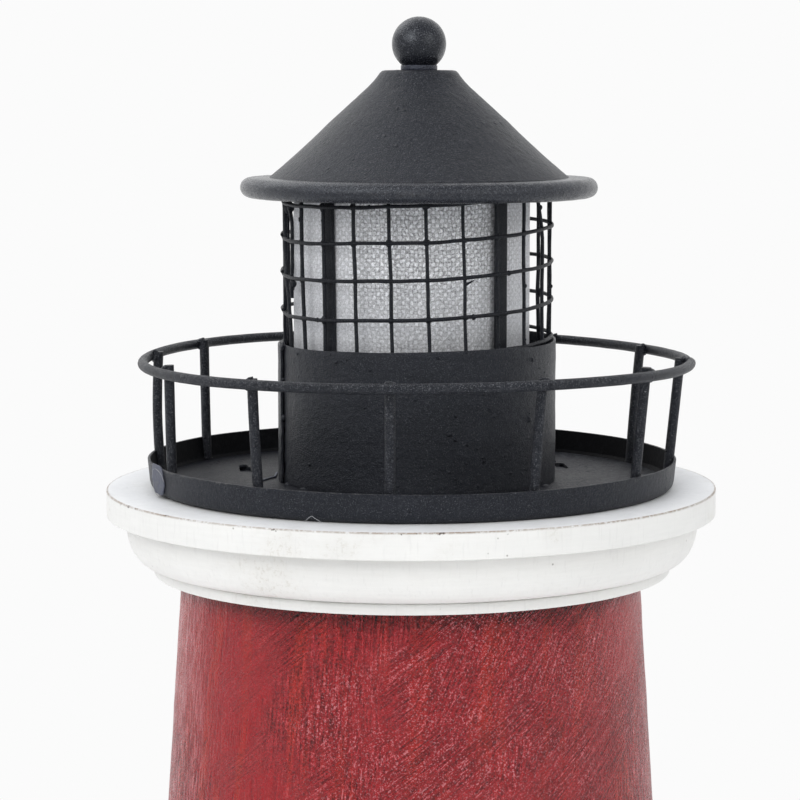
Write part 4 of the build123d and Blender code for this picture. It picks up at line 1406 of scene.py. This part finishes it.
class LIGHTHOUSE_OT_cage(LighthouseStep, bpy.types.Operator):
    """Wrap the welded wire mesh into the lantern's cage"""

    bl_idname = "lighthouse.cage"
    bl_label = "Wire cage"

    def execute(self, context):
        _, iron, sit = settings()
        deck, roof = top("gallery_deck"), foot("roof_brim")
        full = top("mesh_uprights") - deck
        on_cage = partial(cage_point, sit, deck, roof)
        hoop_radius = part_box("mesh_hoops")[1][1] - iron.wire / 2
        upright_radius = hoop_radius - iron.wire * 0.52
        first = foot("mesh_hoops") + 0.75 * MM
        levels = [first + iron.mesh_pitch * step + lift * MM for step, lift in enumerate(HOOP_LIFTS)]
        dice = random.Random(23)
        lap_start, lap_end = radians(-97), radians(-80 + 360)
        hoops, knots = [], []
        for number, level in enumerate(levels):
            points = []
            start = lap_start + dice.uniform(-0.03, 0.03)
            end = lap_end + dice.uniform(-0.06, 0.05)
            count = 112
            for step in range(count + 1):
                angle = start + (end - start) * step / count
                over = climb(angle, radians(250), radians(12))
                wave = noise.noise(Vector((3.1 * cos(angle), 3.1 * sin(angle), number * 5.0)))
                out = hoop_radius + over * iron.wire * 0.35 + 0.22 * MM * wave
                height = level + 0.30 * MM * noise.noise(Vector((4 * cos(angle), 4 * sin(angle), 9 + number)))
                points.append(on_cage(angle, out, height + over * 0.9 * MM))
            hoops.append(rod("hoop_%d" % number, points, iron.wire, 3))
            roughen(hoops[-1], 0.22 * MM, 1.1 * MM)
        turns = [
            FIRST_UPRIGHT + 360 / iron.uprights * index + UPRIGHT_NUDGES.get(index, dice.uniform(-0.6, 0.6))
            for index in range(iron.uprights)
        ]
        seed_blob = lump("blob", (1.05 * MM, 0.85 * MM, 1.05 * MM), 2)
        seed_knot = lump("knot", (1.75 * MM, 0.80 * MM, 1.75 * MM), 3)
        reshape(seed_knot, drawn_out)

        def add_blob(place, size, tall):
            """Leave a blob of paint, so many times as tall as it is wide."""
            shape = Matrix.Diagonal((size, size, size * tall, 1))
            knots.append(copy_of(seed_blob, Matrix.Translation(place) @ shape))

        paths = [
            (upright_path(index, turned, deck, full), 0.0)
            for index, turned in enumerate(turns) if index not in AT_LAP
        ]
        paths += [(loose_path(corners, deck, full), 0.3 * MM) for corners in LAP_WIRES]
        uprights = []
        for index, (path, over) in enumerate(paths):
            points = []
            for angle, height in path:
                out = upright_radius + over + 0.25 * MM * noise.noise(Vector((index * 3.0, 7, height * 60)))
                points.append(on_cage(angle, out, height))
            uprights.append(rod("upright_%d" % index, points, iron.wire * dice.uniform(0.9, 1.06), 3))
            roughen(uprights[-1], 0.24 * MM, 1.1 * MM)
            for level in levels:
                near = min(path, key=lambda spot: abs(spot[1] - level))
                if abs(near[1] - level) > 3 * MM:
                    continue
                place = on_cage(near[0], upright_radius + over + iron.wire * 0.28, level)
                size = dice.uniform(0.78, 1.12)
                spin = Matrix.Translation(place) @ Matrix.Rotation(near[0], 4, "Z")
                spin = spin @ Matrix.Rotation(dice.uniform(-0.15, 0.15), 4, "Y")
                shape = Matrix.Diagonal((size, 0.85 * size, size * dice.uniform(0.8, 1.1), 1))
                knots.append(copy_of(seed_knot, spin @ shape))
        for number in range(34):
            angle, height = radians(dice.uniform(-100, 262)), deck + full * dice.uniform(0.45, 0.98)
            size = dice.uniform(0.5, 0.85)
            path = paths[dice.randrange(len(paths) - len(LAP_WIRES))][0] if number % 2 else None
            if path:
                angle, height = path[dice.randrange(12, 28)]
            else:
                height = levels[dice.randrange(3, 8)]
            add_blob(on_cage(angle, upright_radius + (0.2 if path else 0.6) * iron.wire, height), size, 1.2)
        for turned, drop, size in LAP_BLOBS:
            add_blob(on_cage(radians(turned), upright_radius, levels[7] - drop * MM), size, 1.5)
        discard(seed_knot, seed_blob)
        wire = black_paint(
            "black_paint_wire", grain=0.45 * MM, grit=0.4, dust=0.02, lift=0.6, gloss=0.45, flecks=0.30,
            shine=0.3,
        )
        cage_hoops = join("cage_hoops", hoops + knots)
        settle(cage_hoops, wire, "lighthouse", "black_metal", "mesh_hoops")
        burr = added("cone", "burr", vertices=8, radius1=0.55 * MM, radius2=0.12 * MM, depth=3.2 * MM)
        spot = on_cage(radians(21.0), upright_radius + 0.5 * MM, levels[5] - 1.5 * MM) + Vector((0.9 * MM, 0, 0))
        burr.data.transform(Matrix.Translation(spot) @ Matrix.Rotation(radians(62), 4, "Y"))
        cage_uprights = join("cage_uprights", uprights + [burr])
        settle(cage_uprights, wire, "lighthouse", "black_metal", "mesh_uprights")
        return {"FINISHED"}


# Where the four posts stand, in degrees from the front; the last one leans at its foot.
POST_TURNS = (44.0, 135.0, 225.0, 317.0)
# Radius of a screw's pan head.
SCREW_HEAD = 3.3 * MM


class LIGHTHOUSE_OT_posts(LighthouseStep, bpy.types.Operator):
    """Bend the four flat posts and screw their feet down"""

    bl_idname = "lighthouse.posts"
    bl_label = "Posts and screws"

    def execute(self, context):
        _, iron, sit = settings()
        deck, crown = top("gallery_deck"), top("cage_post_1")
        thick, wide, bend = 1.5 * MM, 5 * MM, 1.6 * MM
        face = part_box("mesh_uprights")[1][0] - iron.wire - 0.05 * MM
        toe = reach("lamp_housing") + 1.4 * MM
        paint = black_paint(
            "black_paint_posts", grain=0.5 * MM, grit=0.4, dust=0.02, lift=0.6, gloss=0.5, flecks=0.25,
            shine=0.35,
        )
        line = [
            (toe, deck), *arc((face - bend, deck + bend), bend, -90, 0, 5),
            *run((face, deck + 8 * MM), (face, crown), 12),
        ]

        def onto_deck(point):
            """Half the thickness goes out, and the foot comes up to lie on the deck."""
            return point + Vector((0, thick / 2, thick / 2 * (point.z < deck + 3 * MM)))

        def leant(point):
            """The post's foot stands to the right of its head."""
            return point + Vector((0.74 * MM * min(1, (crown - point.z) / (50 * MM)), 0, 0))

        for number, turned in enumerate(POST_TURNS, 1):
            strip = draw("flat_post_%d" % number, [(-wide / 2, -radius, height) for radius, height in line])
            select_mesh()
            extrude((wide, 0, 0))
            face_out(strip)
            apply(strip, "SOLIDIFY", thickness=thick, offset=0)
            reshape(strip, onto_deck)
            round_edges(strip, 0.22 * MM, 2, 50)
            strip.data.transform(Matrix.Rotation(radians(turned), 4, "Z"))
            shift(strip, sit.post_shift)
            if number == 4:
                reshape(strip, leant)
            smooth(strip, 40)
            settle(strip, paint, "lighthouse", "black_metal", "cage_post_%d" % number)
        head_low = deck + thick
        head = turn("pan_head", [
            (0, head_low), (SCREW_HEAD, head_low), *arc((0, head_low - 1.4 * MM), 3.6 * MM, 23, 90, 8),
        ], 32)
        cutters = []
        for angle in (0, pi / 2):
            bar = block("recess", (0, 0, head_low + 2.2 * MM), (3.6 * MM, 0.75 * MM, 1.8 * MM))
            bar.data.transform(Matrix.Rotation(angle, 4, "Z"))
            cutters.append(bar)
        cut(head, *cutters)
        circle = hypot(*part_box("deck_screws")[1][:2]) - SCREW_HEAD * 1.414
        heads = [copy_of(head, facing(radians(turned), circle, 0)) for turned in POST_TURNS]
        discard(head)
        screws = join("deck_screw_heads", heads)
        shift(screws, sit.post_shift)
        zinc = plain_finish("zinc_heads", (0.52, 0.52, 0.50), rough=0.34, metal=1.0, speck=0.10)
        settle(screws, zinc, "lighthouse", "screw_steel", "deck_screws")
        return {"FINISHED"}


class LIGHTHOUSE_OT_diffuser(LighthouseStep, bpy.types.Operator):
    """Roll the woven diffuser sleeve"""

    bl_idname = "lighthouse.diffuser"
    bl_label = "Diffuser sleeve"

    def execute(self, context):
        sit = settings()[2]
        low, high = foot("diffuser_sleeve"), top("diffuser_sleeve")
        sheet = 0.6 * MM

        def plan_radius(angle):
            """The sleeve is a little out of round, and its end laps over its start."""
            slack = 41.0 - 2.35 * sin(angle) + 0.15 * cos(4 * angle)
            return slack * MM - sheet / 2 + climb(angle, radians(418), radians(8)) * 0.75 * MM

        start, end = radians(75), radians(75 + 360 + 9)
        angles = [start + (end - start) * step / 150 for step in range(151)]
        plan = [(angle, plan_radius(angle)) for angle in angles]
        sleeve = roll_sheet("woven_sleeve", plan, low, high, lambda angle: 0.0, sheet, 8)
        shift(sleeve, sit.cage_shift)
        settle(sleeve, diffuser_cloth("diffuser_cloth"), "lighthouse", "diffuser_sheet", "diffuser_sleeve")
        return {"FINISHED"}


# Radius of the hole for the finial's stud, and the angle where the ball's flat begins, in degrees.
NECK_HOLE = 2.2 * MM
BALL_FLAT = -50.2


class LIGHTHOUSE_OT_roof(LighthouseStep, bpy.types.Operator):
    """Spin the roof's cone, brim and collar, and set the ball on its neck"""

    bl_idname = "lighthouse.roof"
    bl_label = "Roof and finial"

    def execute(self, context):
        _, iron, sit = settings()
        ledge, plate = foot("roof_cone"), top("roof_cone")
        sheet = iron.sheet
        cone_foot = reach("roof_cone")
        shoulder, drop, flat = 17.9 * MM, 5.9 * MM, 12.9 * MM
        slope = [
            (
                cone_foot + (shoulder - cone_foot) * share - 0.5 * MM * max(0.0, sin(1.6 * pi * share)),
                ledge + (plate - drop - ledge) * share,
            )
            for share in [step / 24 for step in range(25)]
        ]
        crown = [
            (shoulder, plate - drop), (16.0 * MM, plate - 3.9 * MM), (14.6 * MM, plate - 2.2 * MM),
            (13.7 * MM, plate - 0.9 * MM), (flat, plate - 0.2 * MM), (11.6 * MM, plate), (NECK_HOLE, plate),
        ]
        inner = [
            (NECK_HOLE, plate - sheet), (flat - 0.5 * MM, plate - sheet), (shoulder - sheet, plate - drop),
            (cone_foot - 1.4 * MM, ledge),
        ]
        roof_paint = black_paint(
            "black_paint_roof", grain=0.55 * MM, grit=0.5, dust=0.03, lift=0.9, gloss=0.38,
            edges=[(cone_foot, ledge, 0.7 * MM, 0.25)], relief=0.46, flecks=0.42, shine=0.40,
        )
        cone = turn("spun_cone", [*slope, *crown[1:], *inner, (cone_foot, ledge)], 256)
        roughen(cone, 0.22 * MM, 2.2 * MM, 3)
        shift(cone, sit.roof_shift)
        settle(cone, roof_paint, "roof", "black_metal", "roof_cone")
        bead_low = foot("roof_brim")
        brim = reach("roof_brim")
        bead = (ledge - bead_low) / 2
        middle = (brim - bead, bead_low + bead)
        inside = reach("roof_collar")
        lip = inside - 2 * MM
        ring = [
            (lip, ledge), *arc(middle, bead, 90, -90, 20), *arc(middle, bead - sheet, -90, 90, 14),
            (lip, ledge - sheet), (lip, ledge),
        ]
        rim = turn("rolled_brim", ring, 256)
        roughen(rim, 0.22 * MM, 2.2 * MM, 3)
        reshape(rim, lambda point: point + UP * 0.18 * MM * noise.noise(point * 22))
        shift(rim, sit.roof_shift)
        # The pale ring round the bead's middle is a painted highlight; the one at its top edge is both wear and a
        # painted highlight.
        brim_paint = black_paint(
            "black_paint_brim", grain=0.5 * MM, grit=0.6, dust=0.03, lift=0.95, gloss=0.24,
            edges=[
                (brim - 1.2 * MM, ledge - 0.3 * MM, 0.9 * MM, 0.45), (brim, middle[1] - 0.2 * MM, 1.2 * MM, 0.16),
            ],
            relief=0.24, flecks=0.7, shine=0.6,
        )
        settle(rim, brim_paint, "roof", "black_metal", "roof_brim")
        low, high = foot("roof_collar"), top("roof_collar")
        wall, flange = 0.8 * MM, 8 * MM
        collar = turn("spun_collar", soften([
            (inside - wall, low), (inside, low), (inside, high), (inside - flange, high),
            (inside - flange, high - wall), (inside - wall, high - wall), (inside - wall, low),
        ], 0.2 * MM))
        shift(collar, sit.cage_shift)
        collar_paint = black_paint("black_paint_collar", grain=0.6 * MM, grit=0.3)
        settle(collar, collar_paint, "roof", "black_metal", "roof_collar")
        finial_paint = black_paint(
            "black_paint_finial", grain=0.5 * MM, grit=0.5, dust=0.03, lift=0.75, gloss=0.20, relief=0.17,
            flecks=0.6, shine=0.55,
        )
        # The neck's paint is a lighter copy of the black paint: painted light on the neck, which sits in the
        # ball's shadow.
        neck_paint = black_paint("black_paint_neck_lit", grain=0.5 * MM, grit=0.4, dust=0.10, lift=3.6, gloss=0.30)
        seat, ball_top = top("finial_neck"), top("finial_ball")
        ball, round_neck = reach("finial_ball"), reach("finial_neck")
        center = ball_top - ball
        neck = turn("finial_neck_ring", soften([
            (NECK_HOLE, plate), (round_neck, plate), (round_neck, seat), (NECK_HOLE, seat), (NECK_HOLE, plate),
        ], 0.35 * MM), 96)
        shift(neck, sit.roof_shift)
        settle(neck, neck_paint, "roof", "black_metal", "finial_neck")
        knob = turn("finial_knob", [(0, seat), *arc((0, center), ball, BALL_FLAT, 90, 30)], 128)
        roughen(knob, 0.10 * MM, 3 * MM)
        reshape(knob, lambda point: Vector((point.x, point.y, min(point.z, ball_top))))
        shift(knob, sit.roof_shift)
        settle(knob, finial_paint, "roof", "black_metal", "finial_ball")
        return {"FINISHED"}


# ---- lamp and hidden pieces -----------------------------------------------------------------


class LIGHTHOUSE_OT_lamp(LighthouseStep, bpy.types.Operator):
    """Turn the lamp's housing and lens, and finish what stays inside"""

    bl_idname = "lighthouse.lamp"
    bl_label = "Lamp and hidden pieces"

    def execute(self, context):
        low, high = foot("lamp_housing"), top("lamp_housing")
        outer, wall = reach("lamp_housing"), 1.3 * MM
        plastic = plain_finish(
            "lamp_plastic", (0.78, 0.77, 0.73), rough=0.42, metal=0.0, speck=0.03, scale=1400.0, relief=0.02,
        )
        lens_hole = 21.2 * MM
        housing = turn("lamp_case", soften([
            (outer, low), (outer, high), (lens_hole, high), (lens_hole, high - wall), (outer - wall, high - wall),
            (outer - wall, low), (outer, low),
        ], 0.9 * MM), 128)
        cut(housing, block("switch_slot", (0, -outer, low + 8 * MM), (7.2 * MM, 6 * MM, 3.2 * MM)))
        settle(housing, plastic, "lamp", "lamp_plastic", "lamp_housing")
        crown = top("lamp_lens")
        rise, dome, flange = 8 * MM, 21 * MM, 23 * MM
        sphere = (dome ** 2 + rise ** 2) / (2 * rise)
        edge = high - wall
        curve = [
            (dome * share, crown - sphere + (sphere ** 2 - (dome * share) ** 2) ** 0.5)
            for share in [1 - step / 14 for step in range(15)]
        ]
        lens = turn("lamp_dome", [(0, edge), (flange, edge - 1.4 * MM), (flange, edge), *curve], 96)
        settle(lens, frosted_lens("lens_plastic"), "lamp", "lens_plastic", "lamp_lens")
        zinc = plain_finish("zinc_plate", (0.55, 0.55, 0.54), rough=0.36, metal=1.0, speck=0.10)
        raw = plain_finish(
            "sawn_wood", (0.50, 0.35, 0.20), rough=0.75, metal=0.0, speck=0.25, scale=60.0, relief=0.2,
            stretch=(1.0, 9.0, 1.0),
        )
        board = plain_finish(
            "circuit_board", (0.025, 0.16, 0.06), rough=0.35, metal=0.0, speck=0.15, scale=800.0, relief=0.03,
        )
        case = plain_finish(
            "cell_wrap", (0.16, 0.18, 0.20), rough=0.30, metal=0.0, speck=0.08, scale=700.0, relief=0.02,
        )
        black = plain_finish(
            "switch_plastic", (0.03, 0.03, 0.032), rough=0.45, metal=0.0, speck=0.2, scale=1200.0, relief=0.03,
        )
        kept = {
            zinc: [
                "base_screws", "cornice_screws", "finial_stud", "finial_washer", "finial_nut", "lamp_door_screws",
            ],
            raw: ["tower_foot_block", "tower_top_block"], board: ["lamp_board"],
            case: ["lamp_cell_1", "lamp_cell_2", "lamp_cell_3"], plastic: ["lamp_door"], black: ["lamp_switch"],
        }
        for material, nodes in kept.items():
            for node in nodes:
                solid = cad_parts[node]
                solid.data.materials.clear()
                solid.data.materials.append(material)
        return {"FINISHED"}


# ---- stage ----------------------------------------------------------------------------------


def backdrop_light(nodes, sit, behind):
    """The backdrop's strength for what sees it, and how much of it is seen: a gloss sees less of it in front."""
    paths = nodes.add("ShaderNodeLightPath").outputs
    clear = nodes.most(paths["Is Camera Ray"], paths["Is Transmission Ray"])
    gloss = nodes.ease(behind, 0.1, 0.85, sit.front_gloss, 1.1)
    strength = nodes.most(clear, nodes.times(gloss, paths["Is Glossy Ray"]))
    return nodes.times(strength, sit.backdrop), nodes.most(clear, paths["Is Glossy Ray"])


class LIGHTHOUSE_OT_stage(LighthouseStep, bpy.types.Operator):
    """Lay the pale floor, hang the soft lamps and stand the camera"""

    bl_idname = "lighthouse.stage"
    bl_label = "Floor, light and camera"

    def execute(self, context):
        sit = settings()[2]
        floor = added(
            "circle", "studio_floor", vertices=96, radius=9.0, fill_type="NGON", location=(0, 0, -0.2 * MM)
        )
        material = bpy.data.materials.new("studio_floor")
        material.use_nodes = True
        nodes = Nodes(material.node_tree)
        material.node_tree.nodes.remove(material.node_tree.nodes["Principled BSDF"])
        place = nodes.place()
        radius = nodes.group("Round the axis", {"Place": place})[1]
        far = nodes.ease(radius, 0.35, 1.15)
        glowing, seen = backdrop_light(nodes, sit, nodes.split(place)[1])
        share = nodes.times(seen, far)
        grain = nodes.noise(place, 14.0, 3.0)
        pale = nodes.mix(grain, (0.93, 0.93, 0.92), (0.95, 0.95, 0.94))
        matt = nodes.add("ShaderNodeBsdfDiffuse", {"Color": pale})
        glow = nodes.add("ShaderNodeEmission", {"Color": (1.0, 1.0, 1.0), "Strength": glowing})
        blend = nodes.add("ShaderNodeMixShader", {0: share, 1: matt.outputs[0], 2: glow.outputs[0]})
        nodes.put(blend.outputs[0], material.node_tree.nodes["Material Output"].inputs["Surface"])
        floor.data.materials.append(material)

        world = bpy.data.worlds.new("studio")
        world.use_nodes = True
        context.scene.world = world
        nodes = Nodes(world.node_tree)
        background = world.node_tree.nodes["Background"]
        _, behind, above = nodes.split(nodes.add("ShaderNodeTexCoord").outputs["Generated"])
        glowing, seen = backdrop_light(nodes, sit, behind)
        upward = nodes.ease(above, 0.0, 1.0)
        room = nodes.times(nodes.ease(behind, -0.2, 0.9, 1.0, sit.back_light), sit.room_light)
        lit = nodes.plus(nodes.times(upward, sit.sky_light), room)
        sky = nodes.mix(upward, (1.0, 0.995, 0.985), (0.95, 0.975, 1.03))
        nodes.put(nodes.mix(seen, sky, (1.0, 1.0, 1.0)), background.inputs["Color"])
        level = nodes.times(lit, nodes.minus(1.0, seen))
        nodes.put(nodes.plus(level, glowing), background.inputs["Strength"])

        aim = Vector((0, 0, top("cornice_board")))
        lamps = (
            ("key", (-1.35, -1.38, 1.70), 1.2, sit.key_power, (1.0, 0.993, 0.978)),
            ("fill", (1.45, -1.4, 1.3), 1.1, sit.fill_power, (1.0, 0.986, 0.935)),
            ("front", (-0.95, -2.0, 1.55), 0.3, sit.front_power, (1.0, 0.995, 0.985)),
            ("rim", (-1.15, 1.0, 2.0), 1.3, sit.rim_power, (1.0, 1.0, 1.0)),
        )
        for name, where, size, power, tint in lamps:
            light = bpy.data.lights.new(name, "AREA")
            light.shape = "SQUARE"
            light.size = size
            light.energy = power
            light.color = tint
            lamp = bpy.data.objects.new(name, light)
            lamp.location = where
            lamp.rotation_euler = (aim - Vector(where)).to_track_quat("-Z", "Y").to_euler()
            context.collection.objects.link(lamp)
        view = bpy.data.cameras.new("view")
        view.lens = sit.lens
        view.sensor_width = 36
        view.clip_end = 50
        camera = bpy.data.objects.new("view", view)
        camera.location = (sit.view_side, -sit.view_distance, aim.z + sit.view_rise)
        camera.rotation_euler = (pi / 2 - sit.view_pitch, 0, 0)
        context.collection.objects.link(camera)
        context.scene.camera = camera
        context.scene.view_settings.view_transform = "Standard"
        return {"FINISHED"}


# ---- add-on ---------------------------------------------------------------------------------


class LIGHTHOUSE_PT_panel(bpy.types.Panel):
    """Lists the steps and their sizes"""

    bl_idname = "LIGHTHOUSE_PT_panel"
    bl_label = "Table lighthouse"
    bl_space_type = "VIEW_3D"
    bl_region_type = "UI"
    bl_category = "Lighthouse"

    def draw(self, context):
        for group in settings():
            box = self.layout.box()
            for name in group.__annotations__:
                box.prop(group, name)
        for step in STEPS:
            self.layout.operator(step.bl_idname)


GROUPS = {
    "lighthouse_wood": LIGHTHOUSE_PG_wood,
    "lighthouse_iron": LIGHTHOUSE_PG_iron,
    "lighthouse_set": LIGHTHOUSE_PG_set,
}
STEPS = (
    LIGHTHOUSE_OT_groups,
    LIGHTHOUSE_OT_base,
    LIGHTHOUSE_OT_tower,
    LIGHTHOUSE_OT_cornice,
    LIGHTHOUSE_OT_gallery,
    LIGHTHOUSE_OT_railing,
    LIGHTHOUSE_OT_drum,
    LIGHTHOUSE_OT_cage,
    LIGHTHOUSE_OT_posts,
    LIGHTHOUSE_OT_diffuser,
    LIGHTHOUSE_OT_roof,
    LIGHTHOUSE_OT_lamp,
    LIGHTHOUSE_OT_stage,
)


def register():
    for cls in (*GROUPS.values(), *STEPS, LIGHTHOUSE_PT_panel):
        bpy.utils.register_class(cls)
    for name, cls in GROUPS.items():
        setattr(bpy.types.Scene, name, bpy.props.PointerProperty(type=cls))


def unregister():
    for name in GROUPS:
        delattr(bpy.types.Scene, name)
    for cls in reversed((*GROUPS.values(), *STEPS, LIGHTHOUSE_PT_panel)):
        bpy.utils.unregister_class(cls)


def main():
    """Register the add-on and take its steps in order."""
    register()
    for step in STEPS:
        space, name = step.bl_idname.split(".")
        getattr(getattr(bpy.ops, space), name)()


if __name__ == "__main__":
    main()
